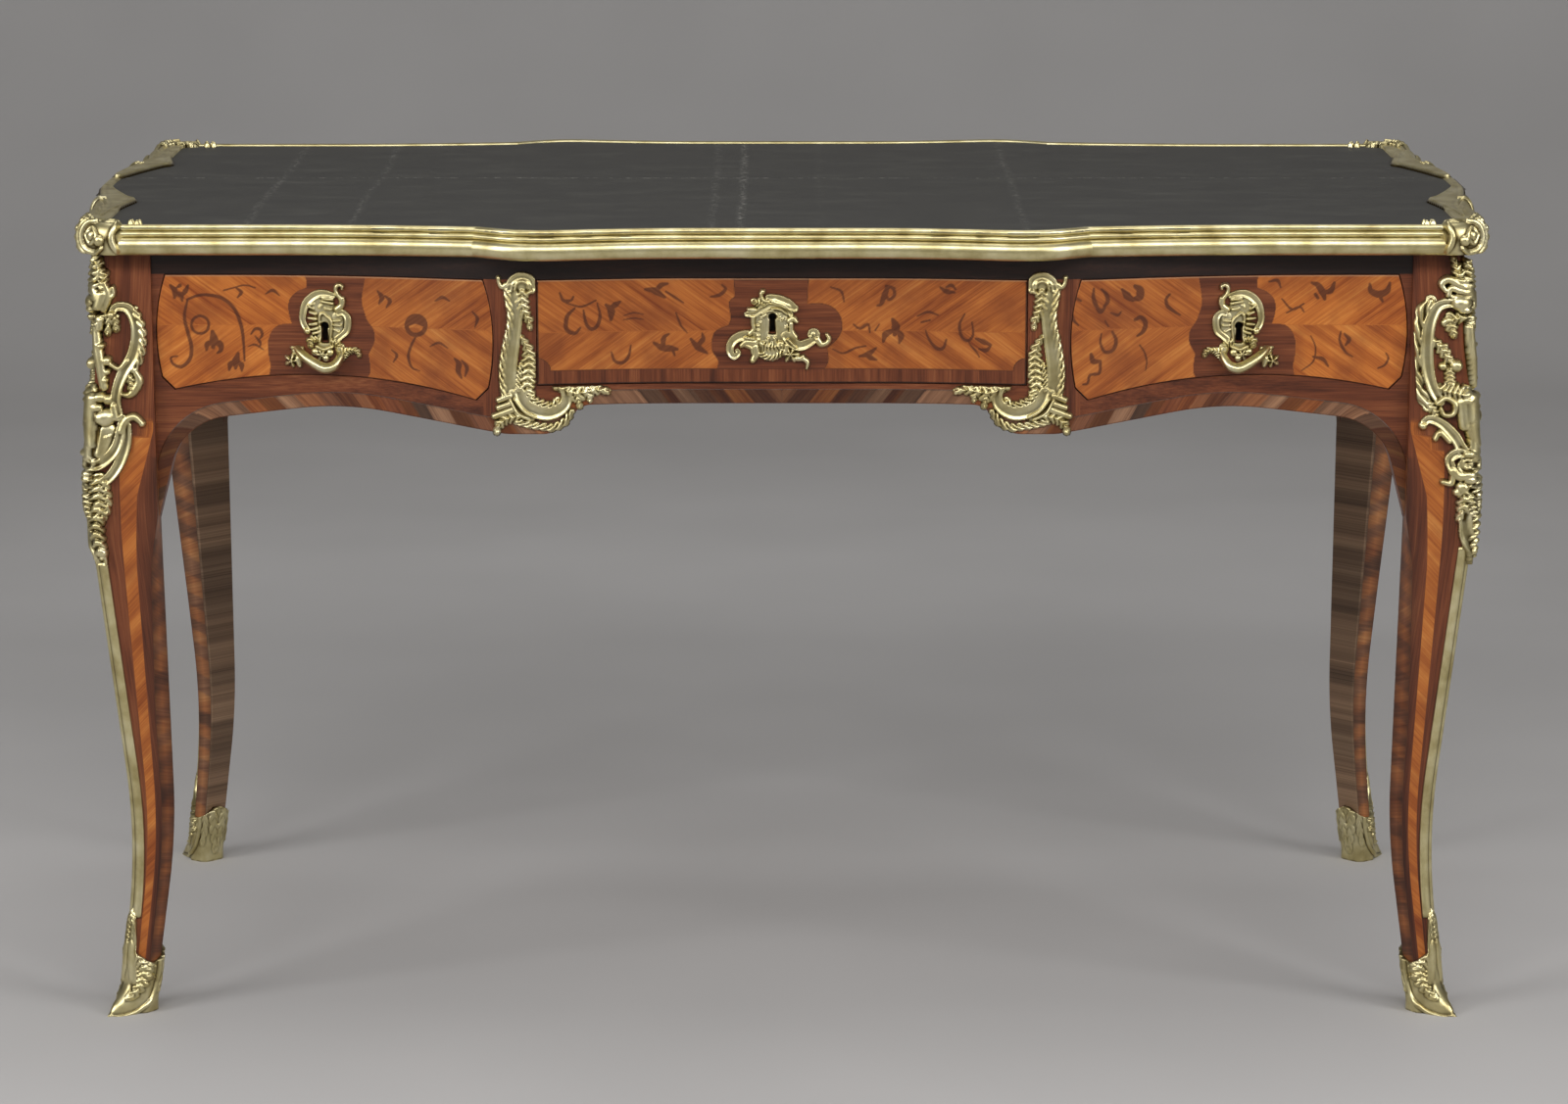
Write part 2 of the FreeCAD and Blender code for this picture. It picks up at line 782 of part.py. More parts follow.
def pull(x, z):
    # a fixed bow between two rosettes, worked in flats, standing off the front for the fingers
    half = pull_span / 2
    ends = [Vector(x + s * half, front_face_y(x + s * half), z) for s in (-1, 1)]
    path = arc(ends[0], Vector(x, front_face_y(x) - pull_bow, z - pull_sag), ends[1])
    centre = path.Curve.Center
    side = path.Curve.Axis * pull_radius
    line_of_bow = path.discretize(pull_flats + 1)
    outer = [p + (p - centre).normalize() * pull_radius - side for p in line_of_bow]
    inner = [p - (p - centre).normalize() * pull_radius - side for p in line_of_bow]
    bow = face_of(polygon(outer + inner[::-1])).extrude(side * 2)
    wood = front_layer(-skin_gap / 3, front_thickness, apron_low, frieze_top)
    return fused([bow] + [rosette(end) for end in ends]).cut(wood)


def closed_scroll(x, z, corners):
    # closed outline about a keyhole; its lobes are rounded and meet in sharp cusps
    around = [at_front(x + u, z + v) for u, v, radius in corners]
    start = (around[0] + around[-1]) / 2
    return rounded([start] + around + [start], [radius for u, v, radius in corners])


def angle_mount():
    # upright channel on the stile and a foot scroll on the apron below the centre drawer, right hand
    outer = inner_bulge - drawer_gap
    inner = stile_inner + drawer_gap
    low = frieze_top - apron_drop
    ledge = centre_bottom - 2 * drawer_gap
    tip = flat_span / 2 - stile_width / 2
    waist = at_front(outer - bulge_tuck, (front_top + low) / 2)
    heel = at_front(outer, low)
    toe = at_front(inner, low)
    corners = [at_front(tip, ledge), at_front(inner, ledge), at_front(inner, front_top), at_front(outer, front_top),
               waist, heel, toe]
    foot = arc(toe, at_front(flat_span / 2, (low + ledge) / 2), corners[0])
    return [line(a, b) for a, b in zip(corners, corners[1:])] + [foot]


def build_top():
    centre = centre_edge()
    right, left = pair(flank_edge())
    ends = pair(end_edge())
    mount = corner_mount().cut(ends[0])
    mounts = [m for s in pair(mount) for m in (s, turned(s))]
    front = {"front_centre_edge": centre, "front_right_edge": right, "front_left_edge": left}
    back = {"back_centre_edge": centre, "back_left_edge": right, "back_right_edge": left}
    edges = {**front, **{name: turned(shape) for name, shape in back.items()}}
    for name, shape in edges.items():
        save(name, shape)
    save("end_edges", Part.Compound(ends))
    save_corners("corner_mount", mount, mount)

    field = Part.Face(top_outline().makeOffset2D(-(edge_groove + edge_width) / 2))
    depth = up * (panel_top - frieze_top)
    panel = field.extrude(depth)
    leather = field.translated(depth).extrude(up * leather_thickness)
    for bronze in list(edges.values()) + ends + mounts:
        panel = panel.cut(bronze)
        leather = leather.cut(bronze)
    save("top_panel", panel.removeSplitter())
    save("leather", leather.removeSplitter())


def build_legs():
    front = leg([front_tenon(rail_tenon, fit), front_tenon(apron_tenon, fit), end_tenon(tall_tenon, fit)])
    back = leg([front_tenon(tall_tenon, fit), end_tenon(tall_tenon, fit)])
    save_corners("leg", front, back)
    mount = chute()
    save_corners("chute", mount, mount)
    shoe = sabot()
    save_corners("sabot", shoe, shoe)
    strips = pair(fillet_strip())
    save("arris_fillets", Part.Compound(strips + [mirror_y(s) for s in strips]))


def build_frieze():
    layer = front_layer(0, board, apron_low, frieze_top)
    whole = layer.common(through_front(apron_outline()))
    frame = whole.cut(slab(drawer_top, height))
    openings = pair(through_front(side_drawer_outline(drawer_gap)))
    for opening in openings + [through_front(centre_drawer_outline(drawer_gap))]:
        frame = frame.cut(opening)
    wood = leg_form(0)

    def between(low, high):
        return frame.common(block((low, high), (-reach, reach), (0, height)))

    apron = fused([between(stile_outer, post_x).cut(wood), front_tenon(apron_tenon, 0)])
    right, left = pair(apron)
    save("front_right_apron", right)
    save("front_left_apron", left)
    right, left = pair(between(stile_inner, stile_outer))
    save("right_stile", right)
    save("left_stile", left)
    save("front_centre_apron", between(-stile_inner, stile_inner))

    rail = front_layer(0, rail_depth, drawer_top, frieze_top)
    for post in pair(wood):
        rail = rail.cut(post)
    rail = fused([rail] + pair(front_tenon(rail_tenon, 0)))
    for key_x in (side_key_x, -side_key_x, centre_key_x):
        rail = rail.cut(bolt_block(key_x, fit, drawer_gap + bolt_throw))
    save("front_top_rail", rail)

    for post in pair(wood):
        whole = whole.cut(post)
    save("back_apron", turned(fused([whole] + pair(front_tenon(tall_tenon, 0)))))

    end = end_layer().common(face_of(end_apron_outline()).extrude(Vector(reach, 0, 0)))
    end = end.cut(wood).cut(mirror_y(wood))
    tenon = end_tenon(tall_tenon, 0)
    right, left = pair(fused([end, tenon, mirror_y(tenon)]))
    save("right_end_apron", right)
    save("left_end_apron", left)


def build_inside():
    # partitions, runners under the drawer sides and kickers over them
    room = room_behind(board)
    middle = (stile_inner + stile_outer) / 2
    face = middle + partition / 2
    other = middle - partition / 2
    through = (-reach, reach)
    side_low = side_bottom + box_clearance
    centre_low = centre_bottom + box_clearance
    box_edge = side_box_x()[1]
    walls = block((other, face), through, (side_low - runner_height, drawer_top))
    save("drawer_partitions", Part.Compound(pair(walls.common(room))))

    runners = [
        block((box_edge - lining, post_x), through, (side_low - runner_height, side_low)),
        block((face, face + runner_width), through, (side_low - runner_height, side_low)),
        block((other - runner_width, other), through, (centre_low - runner_height, centre_low)),
    ]
    save("drawer_runners", Part.Compound([s for bar in runners for s in pair(bar.common(room))]))

    behind_rail = block(through, (rail_depth - frieze_end, reach), (drawer_top, frieze_top))
    kickers = [
        block((middle - runner_width, middle + runner_width), through, (drawer_top, frieze_top)),
        block((box_edge - runner_width, post_x), through, (drawer_top, frieze_top)),
    ]
    kickers = [bar.common(room).common(behind_rail).cut(mirror_y(leg_form(0))) for bar in kickers]
    save("drawer_kickers", Part.Compound([s for bar in kickers for s in pair(bar)]))


def drawer(outline, box_x, low, key_x, key_z, cartouche):
    boards, floor = drawer_box(box_x, low)
    plate = on_face(closed_scroll(key_x, key_z, cartouche), plate_relief)
    return {
        "drawer_front": drawer_front(outline, key_x, key_z),
        "drawer_lining": boards,
        "drawer_bottom": floor,
        "escutcheon": plate.cut(keyhole(key_x, key_z)),
        "lock_case": lock_case(key_x, key_z),
        "lock_bolt": bolt_block(key_x, 0, 0),
    }


def build_drawers():
    side = drawer(side_drawer_outline(0), side_box_x(), side_bottom + box_clearance,
                  side_key_x, side_key_z, side_cartouche)
    side["pull"] = pull(side_key_x, side_key_z - pull_drop)
    centre = drawer(centre_drawer_outline(0), centre_box_x(), centre_bottom + box_clearance,
                    centre_key_x, centre_key_z, centre_cartouche)
    for piece, shape in side.items():
        save("right_" + piece, shape)
        save("left_" + piece, mirror_x(shape))
    for piece, shape in centre.items():
        save("centre_" + piece, shape)
    right, left = pair(on_face(angle_mount(), channel_relief))
    save("right_angle_mount", right)
    save("left_angle_mount", left)


build_top()
build_legs()
build_frieze()
build_inside()
build_drawers()
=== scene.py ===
import math
import bpy
import numpy as np
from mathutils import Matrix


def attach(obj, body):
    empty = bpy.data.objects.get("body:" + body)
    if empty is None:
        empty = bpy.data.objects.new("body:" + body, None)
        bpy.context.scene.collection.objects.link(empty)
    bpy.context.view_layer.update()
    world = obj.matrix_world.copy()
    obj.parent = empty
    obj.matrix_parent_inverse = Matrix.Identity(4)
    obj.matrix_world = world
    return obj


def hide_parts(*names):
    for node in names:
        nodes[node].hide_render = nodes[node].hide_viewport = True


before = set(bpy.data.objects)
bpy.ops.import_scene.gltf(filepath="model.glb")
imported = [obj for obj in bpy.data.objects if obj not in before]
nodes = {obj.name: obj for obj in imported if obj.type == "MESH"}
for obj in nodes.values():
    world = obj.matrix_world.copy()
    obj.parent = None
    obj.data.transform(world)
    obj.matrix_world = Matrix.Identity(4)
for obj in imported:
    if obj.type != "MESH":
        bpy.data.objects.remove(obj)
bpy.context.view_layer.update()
print("frame:", len(nodes), "nodes")

mm = 0.001


# meshes

def putMesh(name, verts, quads, finish, rings=(), notes=None, crease=None):
    # vertices and four-sided faces as whole arrays, with many-sided caps after them;
    # a closed shape whose signed volume is negative is turned right side out
    verts = np.ascontiguousarray(verts, dtype=np.float64)
    quads = np.asarray(quads, dtype=np.int64)
    a, b, c, d = (verts[quads[:, k]] for k in range(4))
    volume = (a * np.cross(b, c)).sum() + (a * np.cross(c, d)).sum()
    if volume < 0:
        quads = quads[:, ::-1]
        rings = [ring[::-1] for ring in rings]
    loops = np.concatenate([quads.ravel()] + [np.asarray(ring) for ring in rings])
    sizes = np.array([4] * len(quads) + [len(ring) for ring in rings])
    mesh = bpy.data.meshes.new(name)
    mesh.vertices.add(len(verts))
    mesh.vertices.foreach_set("co", verts.ravel())
    mesh.loops.add(len(loops))
    mesh.loops.foreach_set("vertex_index", loops.astype(np.int32))
    mesh.polygons.add(len(sizes))
    mesh.polygons.foreach_set("loop_start", (np.cumsum(sizes) - sizes).astype(np.int32))
    mesh.update(calc_edges=True)
    mesh.polygons.foreach_set("use_smooth", np.ones(len(sizes), dtype=bool))
    for key, values in (notes or {}).items():
        values = np.asarray(values, dtype=np.float32)
        wide = values.ndim > 1
        layer = mesh.attributes.new(key, "FLOAT_VECTOR" if wide else "FLOAT", "POINT")
        layer.data.foreach_set("vector" if wide else "value", values.ravel())
    mesh.validate()
    if crease:
        mesh.set_sharp_from_angle(angle=math.radians(crease))
    mesh.materials.append(finish)
    piece = bpy.data.objects.new(name, mesh)
    bpy.context.scene.collection.objects.link(piece)
    return piece


def gridFaces(rows, columns, closed=False):
    # quads of a grid stored row by row; closed joins the last column to the first
    index = np.arange(rows * columns).reshape(rows, columns)
    if closed:
        index = np.hstack([index, index[:, :1]])
    return np.stack([index[:-1, :-1], index[1:, :-1], index[1:, 1:], index[:-1, 1:]], -1).reshape(-1, 4)


def endCaps(rows, columns):
    # the first and the last row of a grid whose columns close, as many-sided faces
    first = np.arange(columns)
    return [first, (rows - 1) * columns + first[::-1]]


def settle(piece, body, slot, *replaced):
    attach(piece, body)
    if replaced:
        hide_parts(*replaced)
    return piece


# lines

def evenly(line, count):
    # the same line with points at even steps of its length
    steps = np.linalg.norm(np.diff(line, axis=0), axis=1)
    length = np.concatenate([[0], np.cumsum(steps)])
    even = np.linspace(0, length[-1], count)
    return np.stack([np.interp(even, length, line[:, k]) for k in range(line.shape[1])], 1)


def roundedLine(points, radii, count):
    # straight runs whose corners are cut back by radius * tan(half the turn) and bridged by an arc
    points = np.asarray(points, dtype=float)
    runs = [points[:1]]
    for before, corner, after, radius in zip(points, points[1:], points[2:], radii):
        into = (corner - before) / np.linalg.norm(corner - before)
        out = (after - corner) / np.linalg.norm(after - corner)
        turn = math.atan2(into[0] * out[1] - into[1] * out[0], into @ out)
        side = np.sign(turn) * np.array([-into[1], into[0]])
        start = corner - into * radius * math.tan(abs(turn) / 2)
        sweep = np.linspace(0, abs(turn), 24)[:, None]
        runs.append(start + side * radius * (1 - np.cos(sweep)) + into * radius * np.sin(sweep))
    return evenly(np.vstack(runs + [points[-1:]]), count)


def smoothLine(points, count):
    # a curve through the points (Catmull-Rom), at even steps
    points = np.asarray(points, dtype=float)
    ext = np.vstack([2 * points[0] - points[1], points, 2 * points[-1] - points[-2]])
    p, q, r, s = (ext[k:len(ext) - 3 + k, None] for k in range(4))
    t = np.linspace(0, 1, 13)[None, :, None]
    bend, twist = 2 * p - 5 * q + 4 * r - s, 3 * q - p - 3 * r + s
    curve = 0.5 * (2 * q + (r - p) * t + bend * t ** 2 + twist * t ** 3)
    return evenly(curve.reshape(-1, points.shape[1]), count)


def leftNormal(line):
    # unit vectors to the left of the line's own direction
    way = np.gradient(line, axis=0)
    way /= np.linalg.norm(way, axis=1)[:, None]
    return np.stack([-way[:, 1], way[:, 0]], 1)


# finishes

def linear(code):
    parts = np.array([int(code[k:k + 2], 16) for k in (1, 3, 5)]) / 255
    parts = np.where(parts <= 0.04045, parts / 12.92, ((parts + 0.055) / 1.055) ** 2.4)
    return (*parts.tolist(), 1.0)


def addNode(tree, kind, inputs=None, stops=None, **settings):
    # one shader node with its settings, its constants and its links
    made = tree.nodes.new("ShaderNode" + kind)
    for key, value in settings.items():
        setattr(made, key, value)
    if stops:
        ramp = made.color_ramp
        ramp.elements.remove(ramp.elements[1])
        ramp.elements[0].position = stops[0][0]
        ramp.elements[0].color = linear(stops[0][1])
        for place, code in stops[1:]:
            ramp.elements.new(place).color = linear(code)
    for key, value in (inputs or {}).items():
        if isinstance(value, bpy.types.Node):
            value = value.outputs[0]
        if isinstance(value, bpy.types.NodeSocket):
            tree.links.new(value, made.inputs[key])
        else:
            made.inputs[key].default_value = value
    return made


def newFinish(name, sockets):
    material = bpy.data.materials.new(name)
    material.use_nodes = True
    tree = material.node_tree
    shader = tree.nodes["Principled BSDF"]
    for key, value in sockets.items():
        shader.inputs[key].default_value = value
    return material, tree, shader


def noise(tree, place, size, detail, roughness=0.5):
    # cloudy pattern whose patches measure about the size given
    inputs = {"Vector": place, "Scale": 1 / size, "Detail": detail, "Roughness": roughness}
    return addNode(tree, "TexNoise", inputs).outputs["Fac"]


def mixed(tree, share, first, second):
    # two colours, the second by the share given
    return addNode(tree, "Mix", {0: share, 6: first, 7: second}, data_type="RGBA").outputs[2]


def wire(tree, shader, tone, rough, bump=None):
    tree.links.new(tone, shader.inputs["Base Color"])
    tree.links.new(rough.outputs[0], shader.inputs["Roughness"])
    if bump:
        tree.links.new(bump.outputs[0], shader.inputs["Normal"])


bronzeLook = {"tones": [(0.30, "#b9aa78"), (0.50, "#d6ca98"), (0.70, "#e9dfb4")], "hollow": "#4d3f20",
              "tarnish": 22 * mm, "cast": 1.1 * mm, "gloss": (0.42, 0.30)}


def giltBronze():
    # cast bronze, chased and fire-gilt: warm pale gold on the crests, brown in the hollows as dirt and as
    # painted shade, broad soft highlights because the gilding is worn rather than mirror bright
    material, tree, shader = newFinish("giltBronze", {"Metallic": 1.0})
    place = addNode(tree, "TexCoord").outputs["Object"]
    tarnish = noise(tree, place, bronzeLook["tarnish"], 4.0)
    gold = addNode(tree, "ValToRGB", {"Fac": tarnish}, stops=bronzeLook["tones"])
    # the hollow attribute darkens the gold: dirt and painted shade in the recesses
    hollow = addNode(tree, "Attribute", attribute_name="hollow").outputs["Fac"]
    tone = mixed(tree, hollow, gold, linear(bronzeLook["hollow"]))
    grit = noise(tree, place, bronzeLook["cast"], 3.0)
    dull, bright = bronzeLook["gloss"]
    rough = addNode(tree, "MapRange", {"Value": tarnish, 3: dull, 4: bright})
    bump = addNode(tree, "Bump", {"Height": grit, "Strength": 0.12, "Distance": 0.3 * mm})
    wire(tree, shader, tone, rough, bump)
    return material


woodLook = {
    "kingwood": [(0.36, "#3c1b0d"), (0.47, "#5b2d17"), (0.56, "#6f3b20"), (0.66, "#85502f")],
    "tulipwood": [(0.36, "#7c3812"), (0.45, "#9f5620"), (0.54, "#b66a2b"), (0.66, "#cb8741")],
    "endcut": [(0.36, "#421e0e"), (0.52, "#572c15"), (0.68, "#6a3a1e")],
    "aged": [(0.36, "#5a4431"), (0.52, "#846850"), (0.68, "#a88a6d")],
    # painted shadow: the rail's tones stand in for the shadow that the top's overhang casts on it
    "stained": [(0.36, "#140a07"), (0.52, "#20110b"), (0.68, "#331c12")],
    "oak": [(0.28, "#5b4128"), (0.50, "#866440"), (0.75, "#a88558")],
    "line": "#170b07", "wornAndHighlit": "#b08863",
    "streak": (60 * mm, 1.3 * mm),      # length and width of the fine streaks
    "figure": (220 * mm, 15.0 * mm),    # and of the broad ones
    "mottle": 40 * mm, "mottled": "#6b3014",
}


def woodFinish(name, axis, ramp, inlaid=False):
    # sawn veneer, scraped and waxed: fine streaks and broader figure along the grain, a soft gloss;
    # axis is the grain's object axis, or None for pieces that carry their grain as an attribute
    wax = {"Coat Weight": 0.10, "Coat Roughness": 0.25, "Specular IOR Level": 0.35}
    material, tree, shader = newFinish(name, wax)
    if axis is None:
        place = addNode(tree, "Attribute", attribute_name="grain").outputs["Vector"]
        axis = 0
    else:
        place = addNode(tree, "TexCoord").outputs["Object"]
    streaks = []
    for along, across in (woodLook["streak"], woodLook["figure"]):
        scale = [1 / across] * 3
        scale[axis] = 1 / along
        fitted = addNode(tree, "Mapping", {"Vector": place, "Scale": scale})
        streaks.append(noise(tree, fitted, 1.0, 5.0, 0.62))
    both = addNode(tree, "Mix", {0: 0.6, 2: streaks[0], 3: streaks[1]}, data_type="FLOAT")
    tone = addNode(tree, "ValToRGB", {"Fac": both}, stops=woodLook[ramp]).outputs[0]
    if inlaid:
        cloud = noise(tree, place, woodLook["mottle"], 4.0)
        mottle = addNode(tree, "MapRange", {"Value": cloud, 1: 0.46, 2: 0.68, 3: 0.0, 4: 0.5})
        woods = {wood: addNode(tree, "ValToRGB", {"Fac": both}, stops=woodLook[wood]).outputs[0]
                 for wood in ("tulipwood", "aged", "endcut")}
        spotted = mixed(tree, mottle, woods["tulipwood"], linear(woodLook["mottled"]))
        for key, other in (("tulipwood", spotted), ("aged", woods["aged"]), ("motif", woods["endcut"]),
                           ("wornAndHighlit", linear(woodLook["wornAndHighlit"])), ("linesAndGapShade", linear(woodLook["line"]))):
            share = addNode(tree, "Attribute", attribute_name=key).outputs["Fac"]
            tone = mixed(tree, share, tone, other)
    rough = addNode(tree, "MapRange", {"Value": streaks[0], 3: 0.34, 4: 0.5})
    bump = addNode(tree, "Bump", {"Height": streaks[0], "Strength": 0.10, "Distance": 0.2 * mm})
    wire(tree, shader, tone, rough, bump)
    return material


leatherLook = {
    "seams": [-0.497, -0.400, -0.272, -0.155, -0.061, -0.033, 0.045, 0.236, 0.354, 0.478], "seam": 1.5 * mm,
    "across": 0.05, "grain": 1.6 * mm, "scuff": 30 * mm, "fleck": 5 * mm, "sway": 250 * mm, "length": 1.4,
    "tones": [(0.30, "#292825"), (0.52, "#31302c"), (0.66, "#3b3a35"), (0.76, "#4a4842")],
    "rubbed": "#8d8b83",
}


def blackLeather():
    # skiver goatskin, dyed black and polished: pebble grain, greyed by wear, seams rubbed pale in places
    material, tree, shader = newFinish("blackLeather", {})
    place = addNode(tree, "TexCoord").outputs["Object"]
    pebble = addNode(tree, "TexVoronoi", {"Vector": place, "Scale": 1 / leatherLook["grain"]})
    pebble = pebble.outputs["Distance"]
    streaky = addNode(tree, "Mapping", {"Vector": place, "Scale": (0.35, 1.0, 1.0)})
    scuff = noise(tree, streaky, leatherLook["scuff"], 8.0, 0.7)
    fleck = noise(tree, place, leatherLook["fleck"], 5.0, 0.7)
    cloud = addNode(tree, "TexNoise", {"Vector": place, "Scale": 1 / leatherLook["sway"], "Detail": 3.0})
    tone = addNode(tree, "ValToRGB", {"Fac": scuff}, stops=leatherLook["tones"])
    sway = addNode(tree, "Mix", {0: 0.012, 4: place, 5: cloud.outputs["Color"]}, data_type="VECTOR")
    where = addNode(tree, "SeparateXYZ", {"Vector": sway.outputs[1]})
    end = leatherLook["length"] / 2
    share = addNode(tree, "MapRange", {"Value": where.outputs["X"], 1: -end, 2: end})
    wide = leatherLook["seam"] / leatherLook["length"]
    stops = [(0.0, "#000000")]
    for x in leatherLook["seams"]:
        at = x / leatherLook["length"] + 0.5
        stops += [(at - wide, "#000000"), (at, "#ffffff"), (at + wide, "#000000")]
    seam = addNode(tree, "ValToRGB", {"Fac": share}, stops=stops)
    # one seam runs lengthwise
    apart = addNode(tree, "Math", {0: where.outputs["Y"], 1: leatherLook["across"]}, operation="SUBTRACT")
    apart = addNode(tree, "Math", {0: apart}, operation="ABSOLUTE")
    along = addNode(tree, "MapRange", {"Value": apart, 1: 0.0, 2: 2.5 * leatherLook["seam"], 3: 1.0, 4: 0.0})
    sewn = addNode(tree, "Math", {0: seam.outputs[0], 1: along}, operation="MAXIMUM")
    rubbed = addNode(tree, "MapRange", {"Value": fleck, 1: 0.52, 2: 0.64})
    pale = addNode(tree, "Math", {0: sewn, 1: rubbed}, operation="MULTIPLY")
    tone = mixed(tree, pale, tone, linear(leatherLook["rubbed"]))
    rough = addNode(tree, "MapRange", {"Value": scuff, 3: 0.52, 4: 0.66})
    bump = addNode(tree, "Bump", {"Height": pebble, "Strength": 0.16, "Distance": 0.3 * mm})
    fold = addNode(tree, "Bump", {"Height": sewn, "Strength": 0.4, "Distance": -0.6 * mm, "Normal": bump})
    wire(tree, shader, tone, rough, fold)
    return material


ironLook = {"tones": [(0.35, "#2b2724"), (0.55, "#4a4642"), (0.75, "#5d4330")], "rust": 5 * mm}


def wroughtIron():
    # forged and filed iron, browned with age
    material, tree, shader = newFinish("wroughtIron", {"Metallic": 1.0})
    place = addNode(tree, "TexCoord").outputs["Object"]
    rust = noise(tree, place, ironLook["rust"], 6.0)
    tone = addNode(tree, "ValToRGB", {"Fac": rust}, stops=ironLook["tones"])
    rough = addNode(tree, "MapRange", {"Value": rust, 3: 0.4, 4: 0.7})
    wire(tree, shader, tone.outputs[0], rough)
    return material


bronze = giltBronze()
inlay = woodFinish("marquetryVeneer", None, "kingwood", inlaid=True)
kingwoodAlong = woodFinish("kingwoodAlong", 0, "kingwood")
kingwoodEnds = woodFinish("kingwoodEnds", 1, "kingwood")
kingwoodUpright = woodFinish("kingwoodUpright", 2, "kingwood")
# the rails get a dark finish that paints the shadow under the top's overhang
stainedRail = woodFinish("stainedRail", 0, "stained")
oakAlong = woodFinish("oakBoards", 1, "oak")
leather = blackLeather()
iron = wroughtIron()

for name, piece in nodes.items():
    if name == "leather":
        finish = leather
    elif "lock" in name:
        finish = iron
    elif any(word in name for word in ("lining", "bottom", "runners", "kickers", "partitions", "panel")):
        finish = oakAlong
    elif "end_apron" in name:
        finish = kingwoodEnds
    elif "stile" in name or "_leg" in name:
        finish = kingwoodUpright
    elif "rail" in name:
        finish = stainedRail
    elif any(word in name for word in ("apron", "drawer_front")):
        finish = kingwoodAlong
    else:
        finish = bronze
    piece.data.materials.clear()
    piece.data.materials.append(finish)
print("finishes: bronze, veneers, oak, leather, iron")


# bronze edge of the top

edgeForm = {
    "hump": (0.244, -0.381), "middle": (0.130, -0.359), "notch": (0.293, -0.350), "flank": (0.400, -0.335),
    "lapped": (0.287, -0.3508), "hidden": (0.630, -0.335),      # the flank's ends, under its neighbours
    "flankEnd": (0.6055, -0.335), "corner": (0.6675, -0.335), "cusp": (0.6675, -0.190), "bulge": 0.0225,
    "humpRadius": 0.09, "middleRadius": 0.6, "flankRadius": 1.2, "cornerRadius": 0.038,
    "base": 0.7545, "top": 0.7835,
}


def halfRound(middle, reach, rise, low, high, count):
    # part of an ellipse that bulges outwards, from the angle low to the angle high
    angle = np.radians(np.linspace(low, high, count))
    return np.stack([middle[0] - reach * np.cos(angle), middle[1] + rise * np.sin(angle)], 1)


# the section, in mm: inward from the outermost line and up from the underside;
# a large round under two small ones
edgeSection = np.vstack([
    [(16, 0), (9, 0)], halfRound((7.5, 8.8), 7.5, 8.8, -84, 70, 24),
    [(5.7, 17.5)], halfRound((7.0, 20.3), 3.2, 2.7, -75, 70, 10),
    [(6.7, 23.2)], halfRound((8.6, 26.0), 3.0, 3.0, -70, 90, 10),
    [(11, 29), (13.6, 28.6), (15.6, 27.4), (16, 26)],
]) * mm
# painted shade and dirt in the two grooves of the section
edgeHollow = 0.4 * np.exp(-((edgeSection[:, 1] - 17.5 * mm) / (0.5 * mm)) ** 2)
edgeHollow += 0.3 * np.exp(-((edgeSection[:, 1] - 23.2 * mm) / (0.4 * mm)) ** 2)


def edgeLength(name, line, turn, node):
    # the closed section stands square to the line: point = line + left normal * inward, height = base + up;
    # lines are mirrored left and right, and front and back, and still run anticlockwise
    line = line * np.array(turn)
    if turn[0] * turn[1] < 0:
        line = line[::-1]
    plan = line[:, None] + leftNormal(line)[:, None] * edgeSection[None, :, :1]
    high = np.broadcast_to(edgeForm["base"] + edgeSection[None, :, 1:], plan.shape[:2] + (1,))
    verts = np.concatenate([plan, high], 2)
    rows, columns = plan.shape[:2]
    notes = {"hollow": np.tile(edgeHollow, rows)}
    piece = putMesh(name, verts.reshape(-1, 3), gridFaces(rows, columns, True), bronze,
                    endCaps(rows, columns), notes, crease=50)
    settle(piece, "carcase", "gilt_bronze", node)


right = [edgeForm["middle"], edgeForm["hump"], edgeForm["notch"]]
centreCorners = [(-x, y) for x, y in right[::-1]] + right
radii = [edgeForm["humpRadius"], edgeForm["middleRadius"]]
centreLine = roundedLine(centreCorners, radii + radii[::-1], 380)
flankPoints = [edgeForm[key] for key in ("lapped", "flank", "hidden")]
flankLine = roundedLine(flankPoints, [edgeForm["flankRadius"]], 200)
cornerPoints = [edgeForm[key] for key in ("flankEnd", "corner", "cusp")]
cuspX, cuspY = edgeForm["cusp"]
bowRadius = (cuspY ** 2 + edgeForm["bulge"] ** 2) / (2 * edgeForm["bulge"])
bowAngle = np.linspace(-1, 1, 240) * math.asin(-cuspY / bowRadius)
bowX = cuspX + edgeForm["bulge"] - bowRadius * (1 - np.cos(bowAngle))
endLine = np.stack([bowX, bowRadius * np.sin(bowAngle)], 1)

for side, turn in (("front", (1, 1)), ("back", (-1, -1))):
    edgeLength(side + "CentreEdge", centreLine, turn, side + "_centre_edge")
flanks = {"front_right": (1, 1), "front_left": (-1, 1), "back_left": (-1, -1), "back_right": (1, -1)}
for side, turn in flanks.items():
    edgeLength(side + ".edge", flankLine, turn, side + "_edge")
for name, turn in (("rightEndEdge", (1, 1)), ("leftEndEdge", (-1, -1))):
    edgeLength(name, endLine, turn, "end_edges")
print("edge: eight lengths")


# legs

